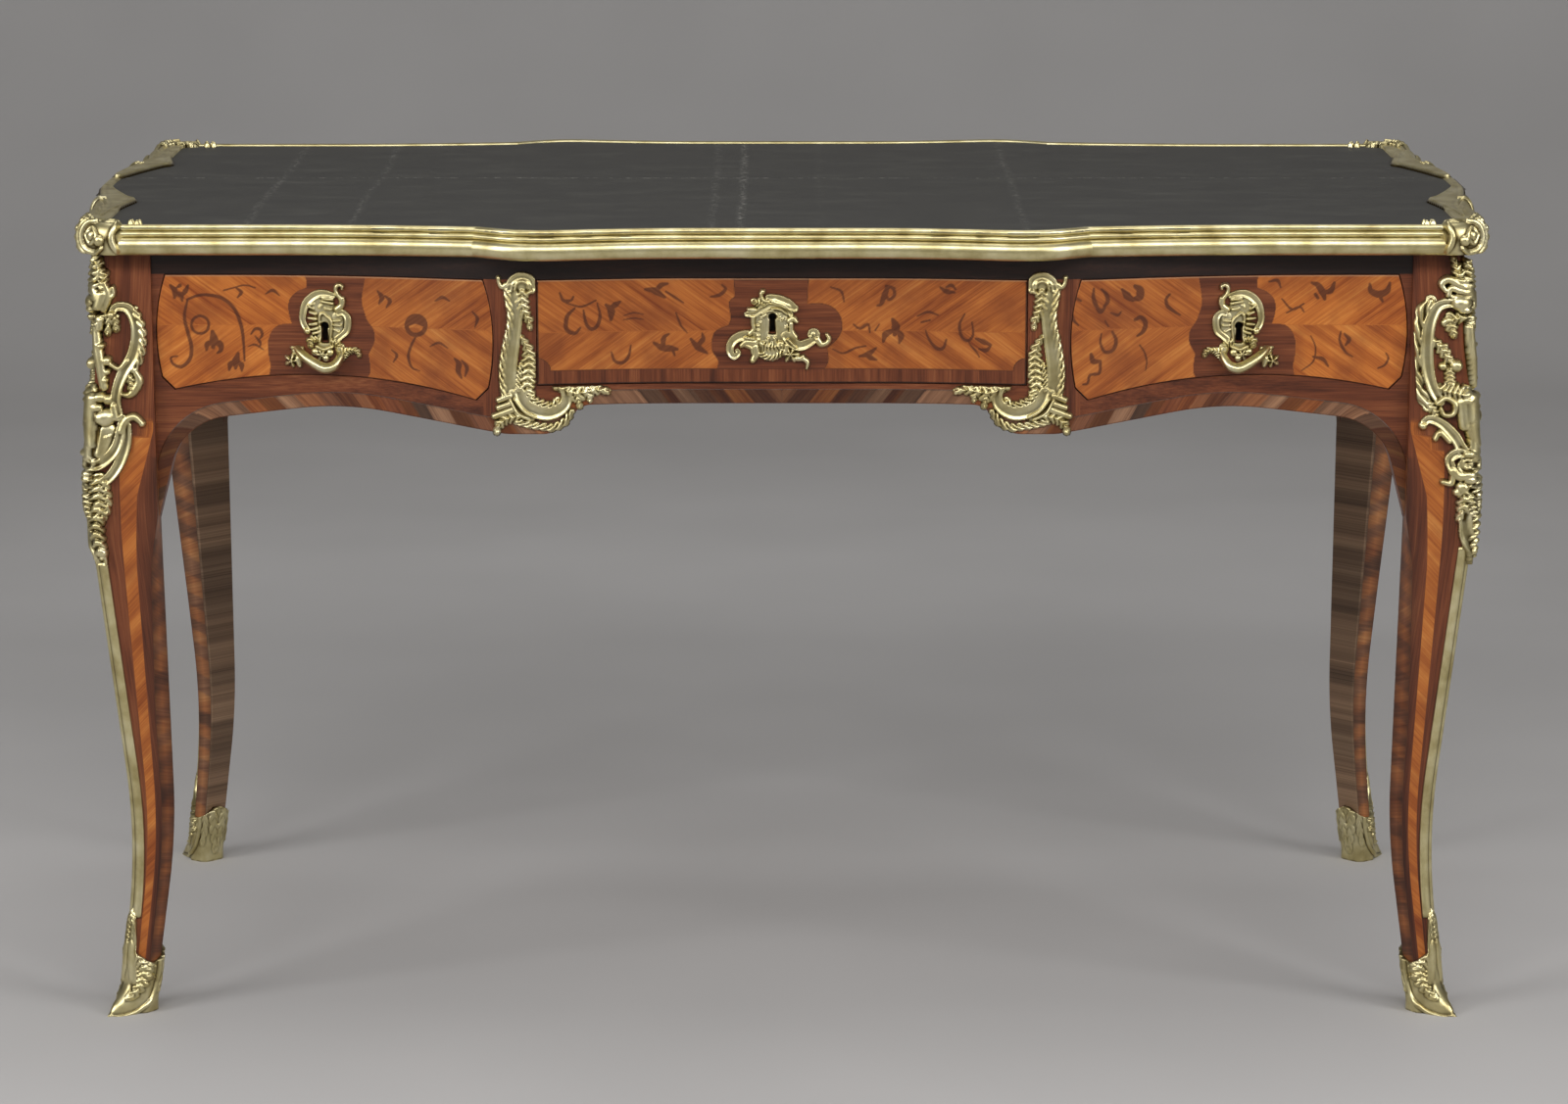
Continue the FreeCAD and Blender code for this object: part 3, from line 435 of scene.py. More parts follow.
# each station gives a height, the arris's lean outwards there and the width of the leg;
# face, bandLow and bandHigh give heights and the shares of the width at which the face and its band end
legForm = {
    "arris": (0.6505, 0.305), "foot": 0.010, "flat": 5.66 * mm, "levels": 260, "radii": [0.7, 0.6],
    "stations": [(0.010, -0.0035, 0.030), (0.175, -0.0195, 0.036), (0.505, 0.014, 0.065),
                 (0.7545, 0.0, 0.0485)],
    "band": 31 * mm, "figure": 96 * mm,     # lengths of the slanting bands and of the dark figure inside
    "face": ([0.10, 0.30, 0.45, 0.50], [0.72, 0.74, 0.86, 1.0]),
    "bandLow": ([0.05, 0.10, 0.50, 0.56], [0.34, 0.34, 0.44, 0.44]),
    "bandHigh": ([0.05, 0.10, 0.45, 0.52, 0.585], [0.56, 0.56, 0.63, 0.70, 0.98]),
    "line": 0.15 * mm, "slip": 0.38, "chamfer": 0.43,
    "tip": (0.564, 0.594), "free": 0.560,   # heights where the light band ends, aslant, and the frieze begins
}
corners = {"front_right": (1, -1), "front_left": (-1, -1), "back_right": (1, 1), "back_left": (-1, 1)}

outerCurve = roundedLine([(lean, z) for z, lean, w in legForm["stations"]], legForm["radii"], 400)
innerCurve = roundedLine([(lean - w, z) for z, lean, w in legForm["stations"]], legForm["radii"], 400)


def leanAt(z):
    return np.interp(z, outerCurve[:, 1], outerCurve[:, 0])


def widthAt(z):
    return leanAt(z) - np.interp(z, innerCurve[:, 1], innerCurve[:, 0])


def legPiece(name, sx, sy):
    # the section at each height, in shares of the leg's width w from the arris: front face, return face,
    # inner chamfer, and the same on the end side; the loft follows the lean and the width
    z = np.linspace(legForm["foot"], edgeForm["base"], legForm["levels"])[:, None]
    w = widthAt(z)
    face = np.interp(z, *legForm["face"])
    low = np.interp(z, *legForm["bandLow"]) * w
    high = np.interp(z, *legForm["bandHigh"]) * w
    high = np.minimum(high, face * w - 1.5 * mm)
    low = np.minimum(low, high - 1 * mm)
    thin = legForm["line"]
    slip = legForm["slip"]
    flat = np.full_like(z, legForm["flat"])
    nil = np.zeros_like(z)
    # distances along the front face, with a doubled line on each side of the light band
    middle = [low - thin, low + thin, (low + high) / 2, high - thin, high + thin]
    front = np.hstack([flat, (flat + low) / 2] + middle + [face * w])
    back = np.hstack([face * w + 2 * thin, (face + 1) / 2 * w, w, w, w])
    deep = np.hstack([nil + 3 * thin, slip / 2 * w, slip * w, slip * w + 2 * thin, legForm["chamfer"] * w])
    a = np.hstack([front, back, deep[:, ::-1], np.zeros_like(front)])
    b = np.hstack([np.zeros_like(front), deep, back[:, ::-1], front[:, ::-1]])
    lean = leanAt(z)
    x = sx * (legForm["arris"][0] + lean - a)
    y = sy * (legForm["arris"][1] + lean - b)
    verts = np.stack([x, y, np.broadcast_to(z, a.shape)], 2)
    rows, columns = a.shape
    side = np.minimum(np.arange(columns), columns - 1 - np.arange(columns))[None, :]
    tip = np.interp(side, [3, 5], legForm["tip"])
    light = ((side >= 3) & (side <= 5)) * np.clip((tip - z) / (2 * mm), 0, 1)
    free = np.clip((legForm["free"] - z) / (4 * mm), 0, 1)
    turned = ((side >= 8) & (side <= 10)) * free       # return faces, banded aslant
    inner = (side >= 11) * free                        # inner faces, cut across the grain
    aslant = z + 0.9 * (a - b)
    bands = np.sin(aslant * 2 * math.pi / legForm["band"] + 1.2 * np.sin(z * 47))
    level = np.sin(z * 2 * math.pi / legForm["figure"] + 1.7 * np.sin(z * 31))
    edges = np.isin(side, [7, 8, 10, 11]) * free * 0.5
    kinds = [inner > 0.5, light > 0.5, turned > 0.5]
    length = np.select(kinds, [a + b, (z + a * 0.8) * 0.6, aslant * 0.7], z)
    across = np.select(kinds, [z, (a - z) * 0.7, (a - b) * 0.5 - z * 0.5], a + b)
    grain = np.stack([length, across, np.full_like(a, sx + 3 * sy)], 2)
    # painted light and shade: the front legs' return faces are made darker than the back ones', for how the
    # light falls on them
    least, more, grey = (0.02, 0.40, 0.15) if sy < 0 else (0.05, 0.85, 0.35)
    banded = turned * (least + more * np.clip(bands * 2.5 + 0.7, 0, 1))
    notes = {"tulipwood": np.maximum(light * 0.8, banded).ravel(), "aged": (inner + turned * grey).ravel(),
             "linesAndGapShade": np.maximum(edges, inner * 0.35 * np.clip(level * 3 - 1, 0, 1)).ravel(),
             "grain": grain.reshape(-1, 3)}
    return putMesh(name, verts.reshape(-1, 3), gridFaces(rows, columns, True), inlay,
                   endCaps(rows, columns), notes, crease=25)


for corner, (sx, sy) in corners.items():
    settle(legPiece(corner + ".leg", sx, sy), "carcase", "veneer", corner + "_leg")
print("legs: four")


# places on the front, from the picture's columns and rows

# focal length and middle are in picture points, the lens and its sensor in mm
cameraForm = {"place": (0.002, -4.99, 1.41), "pitch": 11.43, "focal": 5060.0, "middle": (797.5, 563.5),
              "lens": 113.85, "sensor": 36.0, "sight": 60.0}
friezeForm = {"points": [(0.130, -0.327), (0.255, -0.345), (0.430, -0.303), (0.602, -0.303)],
              "radii": [0.6, 0.25, 0.9]}
right, radii = friezeForm["points"], friezeForm["radii"]
friezeLine = roundedLine([(-x, y) for x, y in right[::-1]] + right, radii[::-1] + radii, 1600)


def frontY(x):
    return np.interp(x, friezeLine[:, 0], friezeLine[:, 1])


def alongRays(spots, face, start):
    # picture points are followed along their rays to a face whose depth depends on the place that is met:
    # drop and width grow with the depth, and four rounds settle them
    tilt = math.radians(cameraForm["pitch"])
    k = (spots[:, 1] - cameraForm["middle"][1]) / cameraForm["focal"]
    y = np.full(len(spots), start)
    for again in range(4):
        q = y - cameraForm["place"][1]
        drop = q * (math.sin(tilt) + k * math.cos(tilt)) / (math.cos(tilt) - k * math.sin(tilt))
        depth = q * math.cos(tilt) + drop * math.sin(tilt)
        x = (spots[:, 0] - cameraForm["middle"][0]) * depth / cameraForm["focal"]
        z = cameraForm["place"][2] - drop
        y = face(x, z)
    return x, z


def onFront(spots):
    spots = np.asarray(spots, dtype=float)
    return np.stack(alongRays(spots, lambda x, z: frontY(x), -0.32), 1)


def tracing(corner, zoom):
    # strokes are drawn on an enlarged tracing whose corner and scale are given in picture points
    return lambda points: onFront(np.array(corner) + np.asarray(points, dtype=float) / zoom)


def nearest(line, spots):
    # for each spot, the share of the line's length at its nearest place, and the distance to the line's left
    start, way = line[:-1], np.diff(line, axis=0)
    size = (way ** 2).sum(1)
    shares, gaps = [], []
    for some in np.array_split(spots, max(1, len(spots) // 4000)):
        apart = some[:, None] - start
        t = np.clip((apart * way).sum(2) / size, 0, 1)
        left = apart - t[..., None] * way
        far = (left ** 2).sum(2)
        k = far.argmin(1)
        row = np.arange(len(some))
        turn = way[k, 0] * left[row, k, 1] - way[k, 1] * left[row, k, 0]
        shares.append((k + t[row, k]) / len(way))
        gaps.append(np.where(turn < 0, -1, 1) * np.sqrt(far[row, k]))
    return np.concatenate(shares), np.concatenate(gaps)


# drawer veneers

def coons(bottom, top, left, right):
    # a patch between four lines: the two ruled surfaces added, less the one that both contain
    u = np.linspace(0, 1, len(bottom))[:, None, None]
    v = np.linspace(0, 1, len(left))[None, :, None]
    ruled = (1 - v) * bottom[:, None] + v * top[:, None] + (1 - u) * left[None] + u * right[None]
    low = (1 - u) * bottom[0] + u * bottom[-1]
    high = (1 - u) * top[0] + u * top[-1]
    return ruled - (1 - v) * low - v * high


def archLine(a, b, c, count):
    # the circle's arc through three points, a parabola being near enough for so flat a one
    t = np.linspace(0, 1, count)[:, None]
    a, b, c = (np.asarray(p, dtype=float) for p in (a, b, c))
    return (1 - t) * (1 - 2 * t) * a + 4 * t * (1 - t) * b + t * (2 * t - 1) * c


def inside(spots, outline):
    # even-odd rule: a spot is inside where an odd number of the outline's edges pass to its right
    p, q = outline, np.roll(outline, -1, axis=0)
    hit = np.zeros(len(spots), dtype=bool)
    for (x0, y0), (x1, y1) in zip(p, q):
        span = (y0 > spots[:, 1]) != (y1 > spots[:, 1])
        cross = x0 + (spots[:, 1] - y0) * (x1 - x0) / (y1 - y0 if y1 != y0 else 1e-9)
        hit ^= span & (spots[:, 0] < cross)
    return hit


def inlaidStrokes(spots, motifs):
    # flat marquetry lines: 1 within half the stroke's width, swelling and thinning along it
    mask = np.zeros(len(spots))
    for drawn in motifs:
        trace = tracing(drawn["corner"], drawn["zoom"])
        for points, widths in drawn["strokes"]:
            line = smoothLine(trace(points), 60)
            widths = np.atleast_1d(np.asarray(widths, dtype=float)) * mm
            reach = widths.max() + 1 * mm
            near = np.flatnonzero(((spots > line.min(0) - reach) & (spots < line.max(0) + reach)).all(1))
            if not len(near):
                continue
            share, gap = nearest(line, spots[near])
            half = np.interp(share, np.linspace(0, 1, len(widths)), widths)
            mask[near] = np.maximum(mask[near], np.clip((half - abs(gap)) / (0.5 * mm) + 0.5, 0, 1))
    return mask


def scallops(arcs):
    # an outline of curves that meet in cusps
    return np.vstack([smoothLine(arc, 14) for arc in arcs])


def ringOf(x, y, radius):
    angle = np.linspace(0, 2 * math.pi, 13)
    return np.stack([x + radius * np.cos(angle), y + radius * np.sin(angle)], 1)


# flowers, trefoils and scrolled stems, each with its half widths in mm
leftMotifs = [
    {"corner": (60, 200), "zoom": 2.8, "strokes": [
        ([(318, 256), (330, 270), (330, 290)], [1.5, 3, 1.5]),
        ([(330, 275), (348, 285), (352, 300)], [2, 3, 1]),
        ([(350, 285), (362, 270), (368, 256)], [1.5, 2.6, 1.2]), ([(336, 262), (345, 256)], [1, 2]),
        ([(366, 296), (395, 285), (425, 283), (465, 292), (500, 322), (520, 370), (527, 420), (530, 470)],
         [1.2, 1.8, 1.8, 1]),
        ([(366, 300), (358, 345), (368, 390), (378, 430), (374, 465), (350, 488), (326, 480), (320, 462),
         (338, 458)], [1.2, 1.7, 1.9, 1.8, 0.8]), (ringOf(403, 368, 25), 1.4),
        ([(438, 388), (442, 410), (440, 432)], [2, 4.5, 2]),
        ([(440, 418), (424, 424), (421, 441)], [2, 3, 1]),
        ([(442, 416), (460, 424), (462, 440), (452, 449)], [2, 3.4, 2.4, 1]),
        ([(512, 450), (506, 470), (504, 492)], [1.6, 4, 1.6]),
        ([(504, 474), (490, 480), (486, 498)], [1.6, 2.8, 1]),
        ([(506, 474), (520, 482), (522, 500)], [1.6, 3, 1]),
        ([(548, 395), (560, 380), (575, 382), (580, 398), (570, 412)], [0.8, 1.6, 1.6, 0.6]),
        ([(560, 400), (575, 420), (572, 432)], [0.6, 1.6, 0.6]),
        ([(470, 270), (500, 262), (530, 255), (560, 262)], 0.8),
        ([(505, 262), (520, 275), (510, 290)], [0.8, 2, 0.8]),
        ([(590, 280), (610, 270), (630, 285)], [0.6, 1.8, 0.6]),
        ([(540, 430), (560, 425), (585, 440)], [0.5, 1.2, 0.5]),
        ([(910, 272), (922, 290), (914, 308)], [1, 2.8, 1]),
        ([(930, 285), (945, 300), (935, 318)], [0.8, 2.2, 0.8]), (ringOf(1020, 370, 27), 2.2),
        ([(1000, 365), (1020, 355), (1040, 368)], [2, 4, 2]),
        ([(1020, 400), (1005, 430), (998, 460), (1008, 490), (1030, 500)], [1, 1.4, 1.4, 0.6]),
        ([(1130, 465), (1142, 480), (1140, 500), (1150, 520)], [1, 3, 2.6, 1]),
        ([(1150, 470), (1165, 490), (1160, 515)], [0.8, 2.2, 0.8]),
        ([(1075, 300), (1095, 290), (1115, 300)], [0.8, 1.8, 0.8]),
        ([(1060, 430), (1085, 420), (1110, 435)], [0.6, 1.4, 0.6]),
        ([(950, 440), (965, 455), (955, 475)], [0.6, 1.6, 0.6]),
        ([(1180, 330), (1195, 350), (1188, 375)], [0.6, 1.8, 0.6]),
    ]},
]
rightMotifs = [
    {"corner": (1080, 265), "zoom": 4.238, "strokes": [
        ([(95, 178), (70, 168), (48, 190), (50, 225), (65, 262), (85, 285)], [1.2, 1.8, 1.9, 1.8, 0.8]),
        ([(152, 125), (150, 165), (165, 205), (180, 215)], [1, 1.8, 2.4, 1]),
        ([(185, 128), (205, 150), (212, 180), (195, 205)], [1, 2, 2.2, 1.2]),
        ([(165, 215), (180, 225), (200, 210)], [1.2, 2.4, 1]),
        ([(275, 130), (300, 160), (320, 175)], [1.5, 4, 2]),
        ([(330, 115), (350, 130), (350, 160), (325, 172)], [2, 4, 4, 2]),
        ([(480, 150), (465, 170), (470, 200), (500, 225), (525, 240)], [1.2, 2, 0.8]),
        ([(140, 410), (150, 440), (180, 440)], [1.6, 3, 1.6]),
        ([(180, 440), (175, 490), (135, 500), (125, 535), (105, 540)], [1.4, 1.6, 1]),
        ([(185, 320), (180, 360), (200, 400), (235, 390), (248, 350), (232, 312)], [0.8, 1.4, 1.8, 2, 1.2]),
        ([(200, 265), (215, 290)], 0.8), ([(225, 230), (255, 240), (270, 225)], [0.8, 1.6, 0.8]),
        ([(330, 260), (355, 250), (375, 275), (365, 310), (340, 330)], [1.6, 2.4, 2.4, 1.2]),
        ([(350, 370), (370, 400), (380, 440), (375, 480)], [0.8, 1, 0.6]),
        ([(1095, 100), (1120, 110), (1140, 140), (1150, 170)], [1.4, 3, 3.4, 1.6]),
        ([(1140, 140), (1175, 135), (1192, 100)], [1.6, 3, 1.4]), ([(1110, 150), (1120, 165)], 1.6),
        ([(1345, 105), (1350, 135), (1385, 150), (1420, 135), (1432, 100)], [1.2, 3, 3.6, 3, 1.2]),
        ([(1385, 150), (1400, 180)], [2.4, 1.2]),
        ([(1220, 310), (1215, 350), (1240, 400), (1270, 420)], [0.8, 1.6, 0.8]),
        ([(1235, 320), (1255, 345), (1240, 370)], [1, 2.4, 1]),
        ([(1380, 470), (1410, 455), (1425, 425), (1415, 405)], [0.8, 1.2, 0.8]),
        ([(1100, 420), (1140, 430), (1165, 460)], [1, 2.2, 1]),
        ([(965, 170), (1010, 215), (1060, 190)], [0.8, 1.2, 0.8]),
        ([(985, 230), (1040, 205), (1060, 225)], [0.8, 1.2, 0.8]),
        ([(910, 95), (945, 90), (960, 120)], [1, 1.8, 0.8]),
        ([(1050, 480), (1100, 440), (1110, 380), (1090, 330)], [0.6, 1, 0.6]),
    ]},
]
centreMotifs = [
    {"corner": (470, 230), "zoom": 3.92, "strokes": [
        ([(455, 332), (425, 365), (422, 415), (455, 432), (478, 410)], [1, 2, 2.2, 2, 1]),
        ([(490, 340), (500, 390), (520, 415), (545, 402), (556, 360), (545, 312)], [1, 1.8, 1.8, 0.8]),
        ([(395, 270), (410, 300), (440, 300), (450, 285)], [1, 1.8, 1]),
        ([(420, 310), (470, 325), (500, 320), (540, 300)], [0.8, 1.2, 0.8]),
        ([(580, 318), (600, 340), (600, 378)], [1.4, 4, 1.6]),
        ([(600, 330), (622, 315), (638, 305)], [2, 3, 1]),
        ([(738, 256), (775, 262), (815, 288)], [1.4, 3.6, 1.4]),
        ([(780, 262), (800, 240), (828, 233)], [2, 2.6, 1]),
        ([(998, 286), (1035, 278), (1058, 255), (1045, 237)], [0.8, 1.8, 1.8, 1]),
        ([(772, 470), (805, 490), (840, 492), (866, 496)], [1.4, 3, 3.4, 1.4]),
        ([(808, 490), (812, 450), (832, 434)], [2, 2.6, 1]), ([(845, 492), (855, 520)], [2, 1]),
        ([(920, 455), (945, 485), (985, 512)], [1.4, 3.4, 1.2]),
        ([(948, 480), (968, 455), (965, 432)], [2, 2.6, 1]),
        ([(680, 480), (670, 525), (645, 550), (615, 542), (602, 508)], [0.8, 1.6, 1.7, 0.9]),
        ([(650, 362), (690, 350), (730, 356)], [0.5, 0.9, 0.5]),
        ([(650, 378), (690, 372), (730, 376)], [0.5, 0.9, 0.5]),
        ([(820, 265), (860, 290), (890, 310)], [1, 1.4, 0.8]),
        ([(860, 350), (880, 400), (905, 430)], [0.8, 1.2, 0.6]),
    ]},
    {"corner": (820, 270), "zoom": 4.752, "strokes": [
        ([(440, 115), (410, 110), (390, 150), (375, 190), (355, 200)], [1, 2, 3, 2.4, 1]),
        ([(400, 105), (430, 115), (440, 145), (415, 170), (395, 150)], 1.6),
        ([(660, 110), (690, 130), (730, 135)], [1, 2.6, 1]),
        ([(690, 110), (715, 100), (735, 120)], [1, 1.8, 1]),
        ([(430, 265), (445, 300), (440, 340)], [1.6, 4.4, 2]),
        ([(430, 320), (395, 340), (385, 375)], [2, 3.4, 1.2]),
        ([(450, 320), (470, 345), (462, 380)], [2, 3.4, 1.2]),
        ([(590, 320), (605, 360), (640, 405), (675, 405), (690, 365)], [0.8, 1.4, 1.8, 1]),
        ([(780, 240), (755, 290), (765, 350), (795, 370), (820, 340), (815, 280)], [0.8, 1.6, 1.4, 0.8]),
        ([(835, 360), (870, 375), (905, 390)], [1.4, 2.8, 1.4]),
        ([(850, 410), (885, 415), (905, 395)], [1, 2.2, 1]),
        ([(800, 380), (840, 430), (850, 450)], [0.8, 1.2, 0.6]),
        ([(270, 445), (310, 435), (350, 405)], [1.2, 3, 1]),
        ([(300, 440), (330, 455), (352, 462)], [1.6, 2.8, 1]),
        ([(140, 410), (190, 430), (250, 405), (300, 395)], [0.8, 1.2, 0.8]),
        ([(130, 110), (180, 130), (195, 180)], [0.8, 1.4, 0.8]),
        ([(240, 290), (270, 310), (310, 290), (320, 330)], [0.8, 1.6, 0.8]),
        ([(550, 250), (600, 230), (650, 245)], [0.8, 1.4, 0.8]), ([(570, 280), (610, 270)], 1),
        ([(345, 320), (365, 290)], 0.8),
    ]},
]
sideReserve = scallops([
    [(310, 270), (310, 279), (312.5, 287), (311.8, 293.6)],
    [(311.8, 293.6), (302.5, 297.5), (295, 306), (294, 318), (297.5, 330.4)],
    [(297.5, 330.4), (284, 331.5), (275.5, 340), (273, 355), (276, 375), (274.3, 384), (276, 400)],
    [(374.3, 400), (374.3, 387.5), (378, 378.6), (376, 361)],
    [(376, 361), (381.6, 350), (381.4, 338), (374.3, 326.8)],
    [(374.3, 326.8), (370, 314), (369, 303.6), (372.5, 282), (372.5, 270)],
])
centreReserve = scallops([
    [(748, 276), (749.3, 302.7)], [(749.3, 302.7), (743.6, 309), (745.5, 324.4), (743, 332)],
    [(743, 332), (732, 336.5), (727, 343), (726.4, 357.6), (732.8, 367.8), (731.5, 376.5)],
    [(841, 376.5), (845, 367.8), (843.7, 355)],
    [(843.7, 355), (853, 347), (858.6, 337), (857.6, 324), (850, 314), (837.3, 309.6), (823.3, 310.4)],
    [(823.3, 310.4), (824.6, 287.4), (824.6, 276)],
])

# tulip is the share of pale wood in the outer and the inner leaves; the centre drawer's lower share is
# painted shade on its field
sideDrawer = {"inner": 0.2744, "outer": 0.5974, "top": 0.7322, "low": 0.6368, "key": (0.436, 0.684),
              "tuck": 4.5 * mm, "corner": 9 * mm, "clip": 12 * mm, "outerDrop": 15 * mm, "innerDrop": 20 * mm,
              "grid": (430, 140), "tulip": (1.0, 0.78)}
centreDrawer = {"half": 0.2318, "top": 0.7320, "low": 0.6320, "key": (-0.009, 0.6955),
                "middle": (-0.004, 0.682), "fieldLow": 0.6455, "scoop": 12 * mm,
                # the centre's lower tulip share paints shade on its field
                "grid": (600, 130), "tulip": (0.74, 0.74)}
veneer = {"proud": 0.35 * mm, "skirt": 1.0 * mm, "inset": 0.5 * mm, "slope": 0.62, "line": 0.5 * mm,
          "keyHead": 4.5 * mm, "slotHalf": 3 * mm, "slotMiddle": 8 * mm, "slotReach": 9 * mm}


def sidePatch():
    # outline of the right drawer: bowed ends, clipped lower corners, arched lower edge
    d = sideDrawer
    inner, outer = d["inner"] + veneer["inset"], d["outer"] - veneer["inset"]
    top, low = d["top"] - veneer["inset"], d["low"] + veneer["inset"]
    innerFoot = (inner + d["tuck"] + d["clip"], low - d["innerDrop"])
    outerFoot = (outer - d["tuck"] - d["clip"], low - d["outerDrop"])
    innerClip = (inner + d["tuck"], low - d["innerDrop"] + d["clip"])
    outerClip = (outer - d["tuck"], low - d["outerDrop"] + d["clip"])
    columns, rows = d["grid"]
    arch = archLine(innerFoot, ((inner + outer) / 2, low), outerFoot, 200)
    bottom = evenly(np.vstack([[innerClip], arch, [outerClip]]), columns)
    upper = evenly(np.array([(inner + d["corner"], top), (outer - d["corner"], top)]), columns)
    left = archLine(innerClip, (inner, (top + low) / 2), upper[0], rows)
    right = archLine(outerClip, (outer, (top + low) / 2), upper[-1], rows)
    return coons(bottom, upper, left, right)


def centrePatch():
    d = centreDrawer
    columns, rows = d["grid"]
    x = np.linspace(-d["half"], d["half"], columns)
    z = np.linspace(d["low"], d["top"], rows)
    return np.stack(np.meshgrid(x, z, indexing="ij"), 2)


def turnedSheet(front, columns, rows, keep=None):
    # a sheet seen from the front and stored column by column, its rim turned back into the wood
    quads = gridFaces(columns, rows)
    if keep is not None:
        quads = quads[keep(front[quads].mean(1))]
    ring = np.arange(columns * rows).reshape(columns, rows)
    ring = np.concatenate([ring[:, 0], ring[-1, 1:], ring[-2::-1, -1], ring[0, -2:0:-1]])
    base = len(front) + np.arange(len(ring))
    skirt = np.stack([np.roll(ring, -1), ring, base, np.roll(base, -1)], 1)
    verts = np.vstack([front, front[ring] + np.array([0, veneer["skirt"], 0])])
    return verts, np.vstack([quads, skirt]), ring


def faded(distance, width, full):
    # 1 on a line, falling to 0 with the distance from it
    return np.clip(full - distance / width, 0, 1)


def drawerVeneer(name, patch, key, drawer, reserve, motifs, fieldMiddle):
    # sheet on the drawer's face, y = the front's line less its own thickness;
    # the woods, the joint lines and the direction of the grain are written on its points
    columns, rows = patch.shape[:2]
    spots = patch.reshape(-1, 2)
    x, z = spots.T
    outline = onFront(reserve)
    dark = inside(spots, outline)
    off = abs(nearest(np.vstack([outline, outline[:1]]), spots)[1])
    border = np.full(len(spots), 1.0)
    if "scoop" in drawer:
        # the field ends above a crossbanded border, with its corners scooped out
        up = z - drawer["fieldLow"]
        border = np.minimum(up, np.hypot(abs(x) - abs(x).max(), up) - drawer["scoop"])
    field = (border > 0) & ~dark
    dark = dark & (border > 0)
    motif = inlaidStrokes(spots, motifs) * field
    # quarter veneer: four leaves whose grain runs out from the middle like a saltire
    ax, az = x - fieldMiddle[0], z - fieldMiddle[1]
    signX, signZ = np.where(ax < 0, -1, 1), np.where(az < 0, -1, 1)
    cos, sin = math.cos(veneer["slope"]), math.sin(veneer["slope"])
    along = np.where(field, ax * signX * cos + az * signZ * sin, np.where(dark, x, z))
    across = np.where(field, -ax * signX * sin + az * signZ * cos, np.where(dark, z, x))
    leaf = np.where(field, 2 + signX + 3 * signZ, np.where(dark, 9, 12)) * 0.37
    # dark lines at the border, round the reserve and between the leaves; a dark line along the rim that is
    # painted shade of the gap round the drawer; a pale upper edge that is partly wear and partly painted
    # highlight
    rim = np.vstack([patch[:, 0], patch[-1, 1:], patch[-2::-1, -1], patch[0, -2:0:-1]])
    edge = abs(nearest(np.vstack([rim, rim[:1]])[::6], spots)[1])
    # painted highlight and wear: a pale line along the top edge
    wornAndHighlit = faded(z.max() - z, 0.8 * mm, 1.5) * 0.7
    lines = [faded(abs(border), veneer["line"], 1.2) * 0.8,
             faded(off, veneer["line"], 1.0) * (border > 0) * 0.8,
             faded(np.minimum(abs(ax), abs(az)), 0.4 * mm, 1.0) * field * 0.5,
             # painted shade of the gap round the drawer, along the rim
             faded(edge, 0.7 * mm, 1.8) * (wornAndHighlit == 0)]
    outer = abs(x) > abs(fieldMiddle[0])
    notes = {"tulipwood": field * np.where(outer, *drawer["tulip"]), "motif": motif * 0.9, "wornAndHighlit": wornAndHighlit,
             "linesAndGapShade": np.max(lines, axis=0), "grain": np.stack([along, across, leaf], 1)}
    front = np.stack([x, frontY(x) - veneer["proud"], z], 1)

    def clear(middle):
        # an opening for the key: a round head and a slot under it
        aside, up = abs(middle[:, 0] - key[0]), middle[:, 2] - key[1]
        slot = (aside < veneer["slotHalf"]) & (abs(up + veneer["slotMiddle"]) < veneer["slotReach"])
        return (np.hypot(aside, up) > veneer["keyHead"]) & ~slot

    verts, quads, ring = turnedSheet(front, columns, rows, clear)
    notes = {k: np.concatenate([v, v[ring]]) for k, v in notes.items()}
    return settle(putMesh(name + "DrawerVeneer", verts, quads, inlay, (), notes), name + "_drawer", "veneer")


rightPatch = sidePatch()
leftPatch = rightPatch[::-1] * np.array([-1, 1])
rightKey = sideDrawer["key"]
leftKey = (-rightKey[0], rightKey[1])
rightReserve = sideReserve * np.array([-1, 1]) + np.array([2 * cameraForm["middle"][0], 0])
drawerVeneer("left", leftPatch, leftKey, sideDrawer, sideReserve, leftMotifs, leftKey)
drawerVeneer("right", rightPatch, rightKey, sideDrawer, rightReserve, rightMotifs, rightKey)
drawerVeneer("centre", centrePatch(), centreDrawer["key"], centreDrawer, centreReserve, centreMotifs,
             centreDrawer["middle"])
print("veneers: three drawer fronts")


# crossbanding along the lower edge of the front

bandForm = {"edge": [(0, 0.612), (0.190, 0.612), (0.218, 0.5845), (0.262, 0.5845), (0.420, 0.609),
                     (0.575, 0.590), (0.602, 0.487)],
            "radii": [0.022, 0.022, 0.060, 0.300, 0.060], "wide": 14 * mm, "proud": 0.15 * mm,
            "block": (12 * mm, 22 * mm), "blocks": 90, "slant": 0.8, "seed": 7, "columns": 900, "rows": 15}


